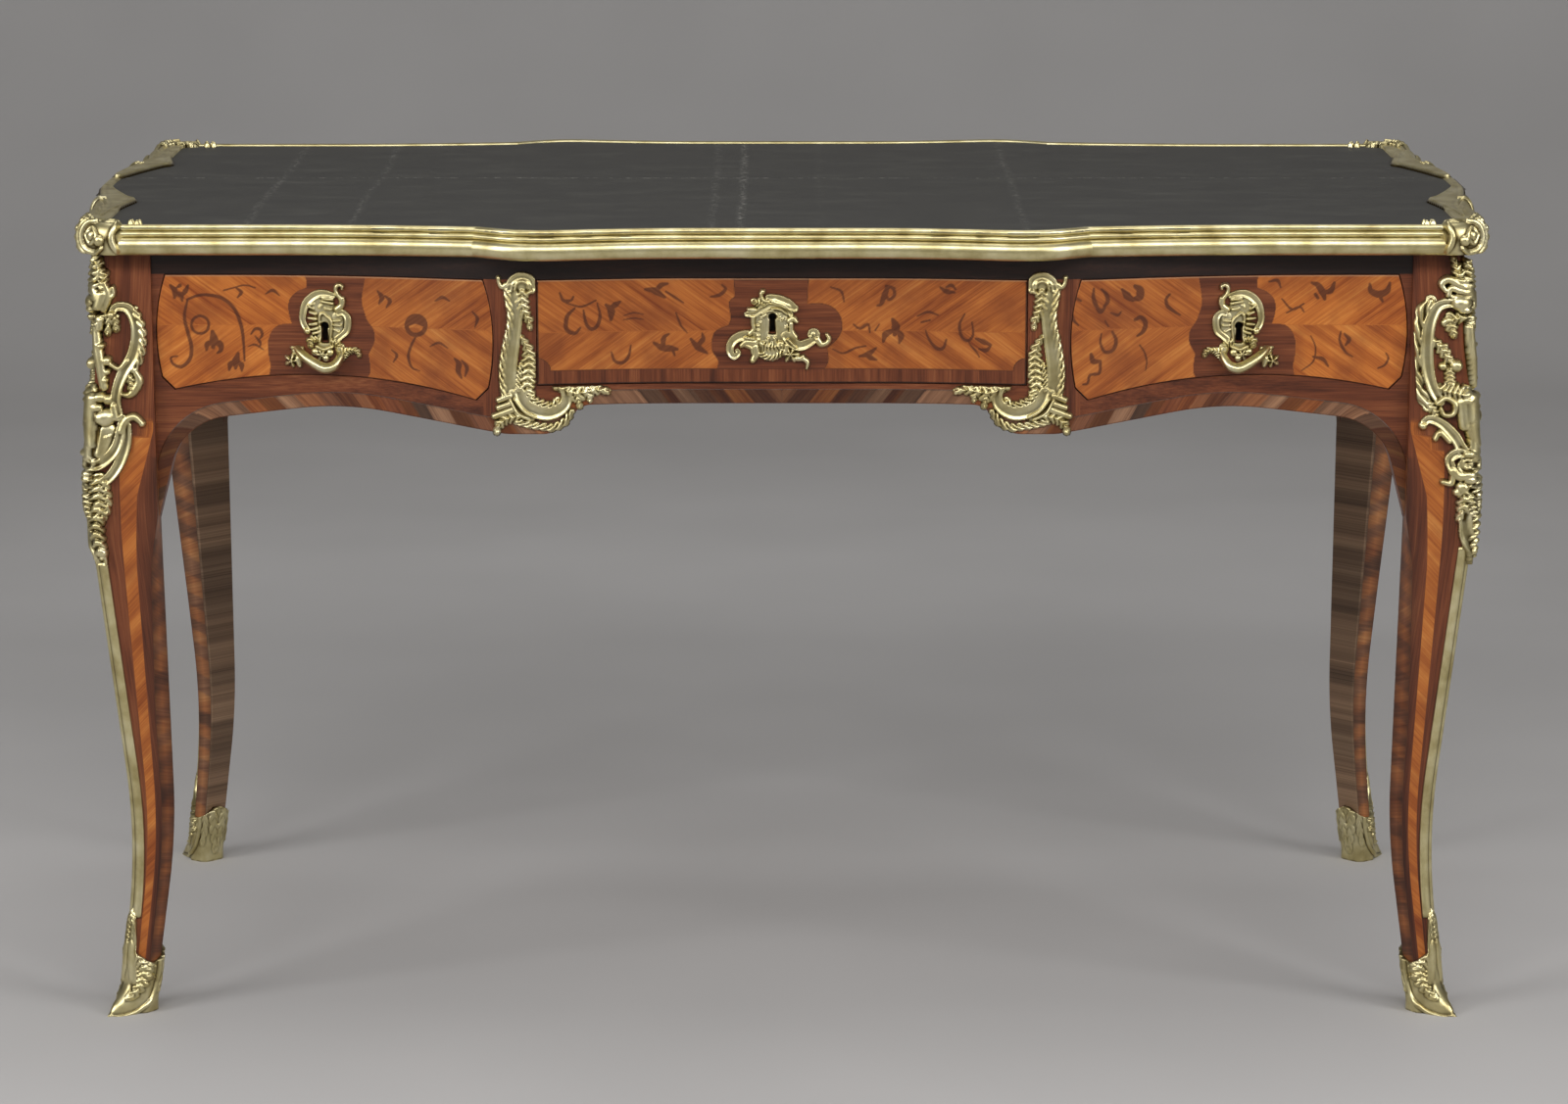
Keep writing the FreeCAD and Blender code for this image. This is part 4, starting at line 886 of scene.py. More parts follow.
def crossband(name, way):
    # a strip on the left of the edge line, cut into slanting blocks of several woods, mirrored at the middle
    d = bandForm
    line = roundedLine(d["edge"], d["radii"], d["columns"])
    s = np.linspace(0, 1, d["columns"])[:, None] * np.linalg.norm(np.diff(line, axis=0), axis=1).sum()
    up = np.linspace(0.3 * mm, d["wide"], d["rows"])[None, :]
    spots = (line[:, None] + leftNormal(line)[:, None] * up[..., None]).reshape(-1, 2)
    x = np.minimum(spots[:, 0], d["edge"][-1][0] - 0.5 * mm)
    chance = np.random.default_rng(d["seed"])
    bounds = np.cumsum(chance.uniform(*d["block"], d["blocks"]))
    block = np.searchsorted(bounds, (s - d["slant"] * up + d["wide"]).ravel())
    tulip = chance.choice([0.0, 0.05, 0.2, 0.4], d["blocks"] + 1)[block]
    aged = chance.choice([0.0, 0.2, 0.5], d["blocks"] + 1)[block] * (tulip < 0.3)
    dark = chance.choice([0.0, 0.0, 0.5, 0.7], d["blocks"] + 1)[block]
    joint = np.tile(np.clip((up[0] - d["wide"] + 1.2 * mm) / (0.6 * mm), 0, 0.8), len(line))
    grain = np.stack([(0.6 * s + up).ravel(), (s - d["slant"] * up).ravel(), block * 0.31], 1)
    front = np.stack([x, frontY(x) - d["proud"], spots[:, 1]], 1)
    verts, quads, ring = turnedSheet(front, d["columns"], d["rows"])
    notes = {"tulipwood": tulip, "aged": aged, "linesAndGapShade": np.maximum(dark, joint), "grain": grain}
    notes = {k: np.concatenate([v, v[ring]]) for k, v in notes.items()}
    return putMesh(name, verts * np.array([way, 1, 1]), quads, inlay, (), notes)


for name, way in (("rightCrossband", 1), ("leftCrossband", -1)):
    settle(crossband(name, way), "carcase", "veneer")
print("crossbands: two")


# chased bronze: strokes of a modelling tool on a flat sheet, laid on what carries them

sunk = 3 * mm           # how far the sheet lies under the surface away from all strokes


def strokeHeight(form, share, x, count):
    # the section of one stroke across its half width x, from 0 at the edges; share runs along it
    edge = np.sqrt(np.clip(1 - x ** 2, 0, 1))
    if form == "channel":           # two rims with a hollow between them
        return (0.45 + 0.55 * abs(x) ** 2.5) * np.clip(1 - abs(x) ** 9, 0, 1) ** 0.5
    if form == "leaf":              # sharply parted lobes that sweep back from a rib
        lobe = abs(np.cos(math.pi * (count * share - 0.75 * abs(x))))
        return edge * (0.48 + 0.52 * lobe) + 0.15 * np.exp(-(x / 0.12) ** 2)
    if form == "rope":              # a row of slanting feathers
        return edge * (0.35 + 0.65 * abs(np.cos(math.pi * (0.7 * count * share - 0.8 * x))))
    return edge


def strokeReach(form, share, half, count):
    # the outline swells with the lobes
    if form == "leaf":
        return half * (0.82 + 0.36 * abs(np.cos(math.pi * (count * share - 0.75))))
    if form == "rope":
        return half * (0.80 + 0.45 * abs(np.cos(math.pi * (0.7 * count * share - 0.7))))
    return half


def eachStroke(d):
    # strokes are listed by form: points on the tracing, half widths and a rise in mm, then a number of lobes;
    # a bead and a flower have one point, and a flower a number of petals
    for form in ("round", "channel", "leaf", "rope"):
        for points, halves, rise, *count in d.get(form, ()):
            yield form, points, halves, rise, count[0] if count else 0
    for form in ("bead", "flower"):
        for x, y, half, rise, *count in d.get(form, ()):
            yield form, [(x, y), (x + 0.5, y)], half, rise, count[0] if count else 0


def heightField(spots, d, trace):
    # the highest stroke at each spot; outside all of them the sheet falls away with the distance
    shape, spots = spots.shape[:-1], spots.reshape(-1, 2)
    field = np.full(len(spots), -sunk)
    for form, points, halves, rise, count in eachStroke(d):
        line = trace(points)
        halves = np.atleast_1d(np.asarray(halves, dtype=float)) * mm
        reach = halves.max() + sunk
        near = np.flatnonzero(((spots > line.min(0) - reach) & (spots < line.max(0) + reach)).all(1))
        if not len(near):
            continue
        if form == "flower":        # petals round a boss
            apart = spots[near] - line[0]
            far, angle = np.hypot(*apart.T), np.arctan2(apart[:, 1], apart[:, 0])
            petal = np.cos(count * angle)
            outer = halves[0] * (0.82 + 0.18 * petal)
            x = far / outer
            high = np.sqrt(np.clip(1 - x ** 2, 0, 1)) * (0.62 + 0.25 * petal)
            high = high + 0.45 * np.exp(-(far / halves[0] / 0.24) ** 2)
            high = np.where(x < 1, rise * mm * high, outer - far)
        else:
            line = smoothLine(line, max(24, 8 * len(line)))
            share, gap = nearest(line, spots[near])
            half = np.interp(share, np.linspace(0, 1, len(halves)), halves)
            half = strokeReach(form, share, half, count)
            x = gap / half
            high = np.where(abs(x) < 1, rise * mm * strokeHeight(form, share, x, count), half - abs(gap))
        field[near] = np.maximum(field[near], high)
    return field.reshape(shape)


def sheetGrid(low, high, step):
    u, v = (np.arange(low[k], high[k] + step / 2, step) for k in range(2))
    return np.stack(np.meshgrid(u, v, indexing="ij"), 2)


def hollowShade(field):
    # painted shade and dirt in the hollows, which are where the field lies below its own blurred copy
    field = np.maximum(field, 0)
    steps = (-4, -2, 0, 2, 4)
    soft = sum(np.roll(field, (i, j), (0, 1)) for i in steps for j in steps) / len(steps) ** 2
    return np.clip((soft - field) / (1.1 * mm), 0, 1)


def castSheet(spots, field, place, rim=0.5 * mm, back=0.9 * mm):
    # the cells that stand above the carrying surface, with a rim that dips into it, closed by a back sheet
    # painted shade: the hollows, and a darkening where the casting dips into the surface that carries it
    hollow = hollowShade(field) + np.clip(0.4 - field / (1.0 * mm), 0, 0.4)
    quads = gridFaces(*field.shape)
    quads = quads[field.ravel()[quads].max(1) > -rim * 0.6]
    used, quads = np.unique(quads, return_inverse=True)
    quads = quads.reshape(-1, 4)
    count = len(used)
    flat = spots.reshape(-1, 2)[used]
    face = place(flat, np.maximum(field.ravel()[used], -rim))
    verts = np.vstack([face, place(flat, np.full(count, -back))])
    edges = np.stack([quads, np.roll(quads, -1, 1)], 2).reshape(-1, 2)
    border = edges[~np.isin(edges[:, 0] * count + edges[:, 1], edges[:, 1] * count + edges[:, 0])]
    walls = np.stack([border[:, 1], border[:, 0], border[:, 0] + count, border[:, 1] + count], 1)
    faces = np.vstack([quads, quads[:, ::-1] + count, walls])
    # the back sheet is painted fully dark, as shade
    shade = np.concatenate([np.clip(hollow.ravel()[used], 0, 1), np.ones(count)])
    return verts, faces, shade


def joinSheets(*sheets):
    # several sheets as one piece: vertices stacked, faces renumbered
    starts = np.cumsum([0] + [len(sheet[0]) for sheet in sheets])
    return (np.vstack([s[0] for s in sheets]), np.vstack([s[1] + k for s, k in zip(sheets, starts)]),
            np.concatenate([s[2] for s in sheets]))


def castPiece(name, sheet, body, *replaced):
    verts, faces, shade = sheet
    piece = putMesh(name, verts, faces, bronze, (), {"hollow": shade})
    return settle(piece, body, "gilt_bronze", *replaced)


def onFace(proud):
    return lambda flat, high: np.stack([flat[:, 0], frontY(flat[:, 0]) - proud - high, flat[:, 1]], 1)


def flipped(sheet):
    # the same casting on the other side of the middle
    verts, faces, shade = sheet
    return verts * np.array([-1, 1, 1]), faces[:, ::-1], shade


keyForm = {"head": 3.4 * mm, "slot": 2.0 * mm, "length": 16 * mm, "bevel": 2.5}


def pierced(field, spots, key):
    # the casting falls away at the keyhole, a round head and a slot that widens downwards
    x, z = abs(spots[..., 0] - key[0]), spots[..., 1] - key[1]
    head = np.hypot(x, z) - keyForm["head"]
    slot = np.maximum(x - keyForm["slot"] + z * 0.06, np.maximum(z, -z - keyForm["length"]))
    return np.minimum(field, np.minimum(head, slot) * keyForm["bevel"])


def traced(d):
    # a casting's grid and the height of its strokes there
    spots = sheetGrid(d["low"], d["high"], d["step"])
    return spots, heightField(spots, d, tracing(d["corner"], d["zoom"]))


angleMount = {
    "corner": (480, 225), "zoom": 6.672, "low": (-0.278, 0.575), "high": (-0.160, 0.748), "step": 0.65 * mm,
    "clear": 1.5 * mm,
    "round": [
        ([(290, 1190), (300, 1290), (400, 1330)], [8, 9, 7], 3),
        ([(300, 470), (312, 430), (350, 412), (385, 430), (390, 460)], [1.8, 2, 2, 1.8], 4.8),
        ([(415, 480), (392, 492)], [2.6, 2.2], 5.2),
        ([(240, 440), (212, 452), (192, 425), (186, 390)], [3.4, 2.8, 2.2, 2.4], 4),
        ([(900, 1150), (936, 1172)], [3, 2.6], 5.4), ([(265, 1195), (190, 1222)], [3.6, 3.2], 4.4),
        ([(275, 1245), (188, 1274)], [3.6, 3.2], 4.6), ([(280, 1290), (160, 1332)], [4, 3.4], 4.8),
        ([(300, 1215), (360, 1290), (440, 1335)], 2, 6), ([(270, 1225), (320, 1310), (400, 1350)], 2, 5.4),
    ],
    "bead": [
        (350, 440, 7.5, 3.4), (582, 1135, 3.8, 6.4), (180, 1438, 3.2, 5.2),
    ],
    "channel": [
        ([(270, 470), (298, 600), (305, 700), (285, 850), (268, 1000), (272, 1150), (300, 1240)],
         [6, 6.5, 6.5, 7, 7, 7, 6], 4),
        ([(262, 470), (275, 415), (330, 382), (395, 392), (425, 435), (418, 478)],
         [3, 3.6, 4.2, 4.2, 3.6, 3], 5.2),
        ([(330, 1170), (380, 1262), (460, 1302), (540, 1312), (608, 1285), (648, 1240), (650, 1180),
         (622, 1132), (582, 1122)], [5.5, 6.5, 7, 7, 6.6, 6.2, 5.4, 4.6, 3.6], 6.2),
    ],
    "leaf": [
        ([(350, 480), (352, 560), (368, 630), (396, 680), (404, 735)], [5.2, 6.6, 6, 4.6, 2.6], 5.2, 6),
        ([(350, 795), (388, 870), (398, 960), (392, 1050), (385, 1130), (405, 1195)],
         [2.4, 5, 7.4, 8, 7.6, 5], 5, 9),
        ([(620, 1140), (700, 1172), (780, 1166), (860, 1150), (935, 1162)], [5, 8, 7.5, 6, 3], 5.4, 6),
        ([(690, 1170), (712, 1120), (705, 1082)], [4.6, 4.6, 3], 5.6, 3),
        ([(790, 1160), (822, 1125), (842, 1098)], [4, 4.4, 3], 5.4, 3),
        ([(715, 1180), (735, 1230), (742, 1265)], [4.4, 4.4, 3], 5, 3),
        ([(790, 1172), (806, 1205), (812, 1228)], [3.6, 3.4, 2.4], 4.6, 2),
        ([(330, 1330), (240, 1350), (190, 1398), (178, 1440)], [4.5, 6, 5.4, 3.2], 5.2, 5),
    ],
    "rope": [
        ([(240, 470), (255, 560), (268, 640), (262, 730), (240, 830), (222, 930), (212, 1030),
         (218, 1130), (230, 1200)], 3.2, 4.8, 15), ([(345, 980), (330, 1060), (325, 1150)], 2.6, 5, 8),
        ([(385, 1150), (425, 1212), (480, 1240), (545, 1258), (592, 1225)], 3.4, 5.4, 10),
        ([(310, 1372), (400, 1392), (480, 1402), (560, 1408), (640, 1368), (688, 1300)],
         [3, 3.6, 3.8, 4, 4, 3], 4.4, 12),
    ],
}
spots, field = traced(angleMount)
drawerCorner = np.array([-centreDrawer["half"], centreDrawer["low"]])
passing = (spots > drawerCorner - angleMount["clear"]).all(-1)
sheet = castSheet(spots, np.where(passing, -sunk, field), onFace(0))     # the drawer slides past the leaf
castPiece("leftAngleMount", sheet, "carcase", "left_angle_mount")
castPiece("rightAngleMount", flipped(sheet), "carcase", "right_angle_mount")

sideEscutcheon = {
    "corner": (285, 280), "zoom": 13.63, "low": (-0.470, 0.640), "high": (-0.405, 0.732), "step": 0.45 * mm,
    "round": [
        ([(520, 400), (600, 460), (640, 620)], [10, 12, 9], 2.6), ([(640, 600), (640, 960)], [9.5, 8], 2.8),
        ([(780, 640), (780, 840)], [9, 8], 2.6), ([(500, 545), (425, 520)], [2, 1.6], 4.4),
        ([(505, 612), (408, 602)], [2, 1.6], 4.6), ([(515, 680), (420, 690)], [2, 1.6], 4.6),
        ([(525, 742), (445, 762)], [2, 1.6], 4.4), ([(545, 795), (470, 815)], [2, 1.6], 4.2),
        ([(600, 330), (735, 345)], 1.8, 4.6), ([(590, 372), (740, 400)], 1.8, 4.6),
        ([(470, 470), (400, 430), (480, 400)], 1.4, 4.2), ([(560, 450), (580, 425)], 2.2, 4),
        ([(640, 470), (720, 480)], 2, 4.2),
        ([(690, 600), (655, 575), (610, 535), (565, 560), (555, 640), (590, 730), (590, 860), (560, 925)],
         1.7, 5), ([(690, 600), (722, 660), (722, 770), (712, 890), (740, 930)], 1.7, 5),
        ([(790, 480), (862, 425), (855, 340), (795, 262), (780, 185), (818, 142), (866, 158), (872, 192)],
         [3, 3.6, 3.2, 2.6, 2.4, 2.4, 2.4, 1.8], 5),
        ([(882, 325), (884, 400), (840, 465)], [2, 2.6, 2.6], 4.6), ([(755, 640), (850, 632)], 1.7, 4.4),
        ([(765, 700), (850, 705)], 1.7, 4.4), ([(760, 760), (820, 790)], 1.7, 4.2),
        ([(520, 1000), (620, 1040), (725, 1005)], 2.2, 4.8),
    ],
    "bead": [
        (385, 782, 3.6, 5.6), (495, 1075, 4, 4.2), (705, 1085, 4, 4.2), (645, 1165, 3.6, 4.2),
    ],
    "channel": [
        ([(390, 770), (335, 680), (322, 570), (360, 420), (440, 325), (545, 268), (660, 268), (745, 295)],
         [3, 3, 3.4, 3.8, 4.2, 4.2, 3.6, 2.6], 5),
        ([(820, 545), (880, 532), (938, 590), (952, 680), (930, 790), (865, 850), (800, 905)],
         [2.6, 3, 3.4, 3.4, 3.2, 3, 3], 5),
    ],
    "leaf": [
        ([(540, 890), (440, 915), (430, 985)], [3, 4.6, 3], 4.6, 4),
        ([(700, 930), (790, 960), (850, 1010)], [4, 4.6, 3.6], 4.4, 4),
    ],
    "flower": [
        (590, 1110, 7.5, 5, 6),
    ],
}
sidePull = {
    "corner": (285, 280), "zoom": 13.63, "low": (-0.480, 0.622), "high": (-0.392, 0.664), "step": 0.5 * mm,
    "thick": [3.74, 4.18, 4.62, 4.95, 4.95, 4.73, 4.18, 3.74], "stand": [3, 8, 12, 14, 15, 13, 8, 3],
    "rings": 60,
    "round": [
        ([(262, 1170), (282, 1260)], [4, 2.6], 4.6), ([(230, 1060), (290, 1030)], [5, 4], 5),
        ([(800, 960), (830, 1020), (850, 1100)], [3.6, 4.4, 4], 5),
    ],
    "bead": [
        (165, 1195, 2, 4),
    ],
    "leaf": [
        ([(235, 1060), (210, 985), (195, 915)], [4, 4.6, 3], 5, 4),
        ([(860, 1150), (905, 1085), (960, 1050), (1035, 1045), (1095, 1085), (1108, 1130)],
         [4, 5, 4.8, 4, 3.2, 2.4], 5.6, 7),
    ],
    "flower": [
        (165, 1195, 7.6, 6, 5),
    ],
    "bar": [
        (240, 1020), (300, 1075), (400, 1150), (520, 1225), (650, 1278), (770, 1250), (840, 1165),
        (865, 1090),
    ],
}


def tube(line, thick, sides=20):
    # rings square to a line in space, with three low ridges along them; the ends are drawn to a point
    way = np.gradient(line, axis=0)
    way /= np.linalg.norm(way, axis=1)[:, None]
    out = np.array([0, -1.0, 0]) - way * (-way[:, 1:2])
    out /= np.linalg.norm(out, axis=1)[:, None]
    side = np.cross(way, out)
    angle = np.linspace(0, 2 * math.pi, sides, endpoint=False)
    ridge = 1 + 0.10 * np.cos(3 * angle)
    spoke = np.cos(angle)[:, None] * out[:, None] + np.sin(angle)[:, None] * side[:, None]
    verts = line[:, None] + thick[:, None, None] * ridge[:, None] * spoke
    rows = len(line)
    ring = np.arange(sides)
    following = np.roll(ring, -1)
    point = np.full(sides, rows * sides)
    last = (rows - 1) * sides
    first = np.stack([ring, following, point, point], 1)
    final = np.stack([following + last, ring + last, point + 1, point + 1], 1)
    faces = np.vstack([gridFaces(rows, sides, True), first, final])
    # painted shade in the grooves between the ridges and at the pointed ends
    shade = np.concatenate([np.tile(np.clip(-np.cos(3 * angle), 0, 1) * 0.25, rows), [0.3, 0.3]])
    return np.vstack([verts.reshape(-1, 3), line[:1], line[-1:]]), faces, shade


def pullSheet():
    # rosettes on the drawer's face and a bowed bar that stands off it
    d = sidePull
    flat = tracing(d["corner"], d["zoom"])(d["bar"])
    line = np.column_stack([flat[:, 0], frontY(flat[:, 0]) - np.array(d["stand"]) * mm, flat[:, 1]])
    share = np.linspace(0, len(d["thick"]) - 1, d["rings"])
    thick = np.interp(share, np.arange(len(d["thick"])), np.array(d["thick"]) * mm)
    base = castSheet(*traced(d), onFace(veneer["proud"]))
    return joinSheets(base, tube(smoothLine(line, d["rings"]), thick))


spots, field = traced(sideEscutcheon)
sheet = castSheet(spots, pierced(field, spots, leftKey), onFace(veneer["proud"]))
castPiece("leftEscutcheon", sheet, "left_drawer", "left_escutcheon")
castPiece("rightEscutcheon", flipped(sheet), "right_drawer", "right_escutcheon")
sheet = pullSheet()
castPiece("leftPull", sheet, "left_drawer", "left_pull")
castPiece("rightPull", flipped(sheet), "right_drawer", "right_pull")

centreEscutcheon = {
    "corner": (735, 285), "zoom": 13.07, "low": (-0.063, 0.640), "high": (0.050, 0.726), "step": 0.45 * mm,
    "round": [
        ([(530, 500), (520, 800)], [8, 9], 2.8), ([(820, 500), (830, 800)], [8, 9], 2.8),
        ([(680, 800), (680, 960)], [12, 10], 3.2), ([(680, 420), (690, 620)], 10, 2.6),
        ([(720, 300), (900, 370)], 5, 3.4), ([(680, 385), (790, 396), (885, 455)], 1.3, 5.8),
        ([(560, 455), (640, 420), (700, 415)], 1.4, 5.2),
        ([(630, 292), (565, 275), (538, 205), (560, 155)], [2.6, 2.6, 2.2, 2.6], 4.8),
        ([(450, 405), (375, 398)], [3, 2.4], 4.6),
        ([(430, 500), (428, 580), (440, 660), (390, 722)], 2.6, 4.6), ([(600, 470), (545, 500)], 1.8, 4.6),
        ([(450, 850), (350, 840), (280, 880)], [5, 4.2, 3], 4.4),
        ([(340, 880), (408, 915), (422, 985)], [2.8, 2.6, 1.8], 4.4), ([(440, 790), (330, 775)], 2.2, 5.4),
        ([(462, 900), (470, 1000), (425, 1082)], [4, 4.2, 3.2], 4.8), ([(640, 780), (620, 880)], 2, 5),
        ([(720, 780), (740, 880)], 2, 5),
        ([(1020, 1052), (1110, 1060), (1160, 1112), (1148, 1185)], [3.4, 3, 2.6, 1.6], 4.6),
        ([(885, 880), (870, 960)], 3, 4.6), ([(1060, 1060), (1100, 1020)], [2.6, 2], 4.8),
        ([(915, 548), (965, 522), (1015, 562)], [3.2, 3.6, 2], 5),
        ([(940, 590), (948, 690), (1000, 772)], 2.8, 4.8),
        ([(1290, 800), (1340, 862), (1420, 842), (1446, 790), (1412, 728)], [3.6, 3.6, 3, 2.6, 1.8], 4.8),
        ([(900, 800), (1000, 900)], 2, 5.6),
    ],
    "bead": [
        (562, 160, 2.9, 5.2), (545, 520, 2, 4.4), (528, 570, 2.2, 4.4), (498, 615, 2.4, 4.4),
        (500, 745, 2.6, 4.4), (505, 800, 2.6, 4.4), (428, 1082, 3.2, 5.2), (800, 860, 4.4, 5.2),
    ],
    "channel": [
        ([(350, 462), (450, 462), (560, 392), (680, 346), (800, 360), (900, 428), (935, 462)],
         [2.6, 3, 3, 3, 3, 3, 2.4], 5.4),
        ([(640, 238), (760, 262), (880, 318), (985, 385)], [3.2, 4.6, 5.4, 3.8], 5.4),
        ([(450, 770), (330, 745), (205, 785), (135, 870), (128, 965), (178, 1028), (238, 985), (222, 950)],
         [5.4, 5.2, 5, 4.6, 4, 3.6, 3, 2.2], 5.4),
        ([(880, 760), (980, 858), (1080, 880), (1190, 832), (1268, 770), (1268, 702), (1212, 692),
         (1192, 742)], [5.4, 5.6, 5.4, 5, 4.6, 3.8, 3, 2.4], 5.6),
    ],
    "leaf": [
        ([(585, 345), (510, 310), (445, 292)], [3, 5.2, 3], 5, 4),
        ([(560, 860), (680, 900), (810, 880)], [6, 8, 6], 5, 6),
    ],
    "rope": [
        ([(740, 470), (800, 530), (850, 520)], 2.6, 4.6, 5),
        ([(520, 985), (620, 1038), (740, 1028), (822, 965)], 3.2, 5, 8),
    ],
    "flower": [
        (500, 675, 3.8, 4.6, 7), (930, 995, 9.4, 5.6, 6), (880, 632, 3.8, 4.8, 5),
    ],
}
spots, field = traced(centreEscutcheon)
sheet = castSheet(spots, pierced(field, spots, centreDrawer["key"]), onFace(veneer["proud"]))
castPiece("centreEscutcheon", sheet, "centre_drawer", "centre_escutcheon")
print("mounts on the front: angle mounts, escutcheons, pulls")


# bronze wrapped round the legs' arrises

wrapRound = 8 * mm          # radius of the turn from one face of the leg to the other
wrapHalf = wrapRound * math.pi / 4
wrapWays = {"front_left": ((1, 0), (0, 1)), "front_right": ((0, 1), (-1, 0)),
            "back_right": ((-1, 0), (0, -1)), "back_left": ((0, -1), (1, 0))}


def onLeg(corner):
    # u runs round the arris, positive along the first face, and z up:
    # flat on the faces, a quarter turn between them
    sx, sy = corners[corner]
    wayA, wayB = (np.array(way, dtype=float) for way in wrapWays[corner])

    def place(flat, high):
        u, z = flat.T
        turn = np.clip(u / wrapRound, -math.pi / 4, math.pi / 4) + math.pi / 4
        a = wrapRound * (1 - np.cos(turn)) + np.maximum(u - wrapHalf, 0)
        b = wrapRound * (1 - np.sin(turn)) + np.maximum(-u - wrapHalf, 0)
        a = a - high * np.cos(turn)
        b = b - high * np.sin(turn)
        lean = leanAt(z)
        base = np.stack([sx * (legForm["arris"][0] + lean), sy * (legForm["arris"][1] + lean)], 1)
        plan = base + a[:, None] * wayA + b[:, None] * wayB
        return np.column_stack([plan, z])
    return place


def legTracing(corner, zoom, side):
    # picture points on the face of a front leg become u and z; side is 1 for the left leg, else -1
    def trace(points):
        spots = np.array(corner) + np.asarray(points, dtype=float) / zoom
        x, z = alongRays(spots, lambda x, z: -legForm["arris"][1] - leanAt(z), -0.31)
        a = legForm["arris"][0] + leanAt(z) + side * x
        return np.stack([side * (a - wrapRound + wrapHalf), z], 1)
    return trace


leftWing = {
    "place": ((60, 220), 4.126, 1),
    "round": [
        ([(155, 280), (180, 256), (186, 222)], [3.4, 3, 2], 5),
        ([(195, 285), (208, 330), (195, 395)], [3, 5.2, 3], 5.4), ([(165, 300), (176, 350)], 4, 5.6),
        ([(208, 345), (232, 332), (228, 300)], [2.8, 2.2, 2.2], 5),
        ([(286, 612), (252, 642), (214, 620)], [3.2, 2.8, 2.4], 5.2),
        ([(180, 430), (178, 475)], [4, 3], 4.6),
        ([(168, 470), (172, 560), (182, 640), (192, 720)], [3, 4, 4.4, 4.4], 4.4),
        ([(318, 650), (336, 700), (302, 752), (264, 752)], [2.6, 4.6, 4.8, 2], 4.6),
        ([(152, 800), (146, 900), (152, 965)], [5, 6.4, 4], 6), ([(230, 800), (240, 850)], 4, 5.6),
        ([(262, 905), (282, 862), (316, 846), (350, 872)], [4.2, 4.6, 4.2, 3.2], 5.6),
        ([(205, 905), (180, 1000)], [9, 7], 5),
    ],
    "bead": [
        (138, 365, 8, 8), (222, 415, 4.6, 7), (204, 608, 5, 6.5), (206, 655, 3.4, 6), (196, 690, 3.6, 6),
        (184, 545, 3.4, 5.6), (138, 775, 4.4, 7), (180, 762, 5.4, 6.5), (208, 772, 5.4, 6.5),
        (168, 805, 5, 6), (200, 848, 9.5, 8.5), (350, 876, 3.6, 5.8), (125, 1000, 4.6, 7.5),
        (200, 930, 3, 6.4), (215, 925, 2.6, 6.2), (186, 1418, 5.4, 5.4),
    ],
    "channel": [
        ([(222, 415), (242, 384), (290, 390), (322, 440), (330, 510), (312, 590), (272, 660), (246, 730),
         (240, 790), (252, 845)], [3.6, 4.6, 5.6, 6.2, 6.4, 6.4, 5.8, 5.2, 4.8, 4.4], 6.5),
        ([(286, 885), (282, 960), (250, 1050), (200, 1112), (140, 1130)], [4.4, 5.4, 5.6, 5.4, 4.4], 5.8),
        ([(268, 850), (252, 950), (216, 1012), (160, 1050), (120, 1040)], [3.4, 5, 5.4, 5.4, 4.4], 7),
    ],
    "leaf": [
        ([(155, 300), (145, 240), (128, 172)], [5, 5.5, 2.6], 5.5, 5),
        ([(200, 415), (172, 455)], [4, 3.4], 5, 2), ([(214, 430), (206, 495)], [4.4, 3.4], 5, 2),
        ([(236, 430), (242, 478)], [4.4, 3.4], 5, 2), ([(300, 680), (305, 730)], 4, 4.8, 2),
        ([(172, 1108), (172, 1200), (186, 1268)], [6.4, 7.4, 4.6], 5.6, 5),
        ([(196, 1118), (208, 1200), (204, 1252)], [3.4, 4.2, 2.8], 5.4, 4),
        ([(166, 1230), (166, 1330), (180, 1400), (188, 1440)], [6.6, 6.4, 6, 4], 5, 6),
    ],
    "rope": [
        ([(318, 396), (346, 465), (352, 540), (338, 610), (312, 655)], 3.6, 5.4, 10),
    ],
    "flower": [
        (150, 355, 11, 5.5, 6),
    ],
}
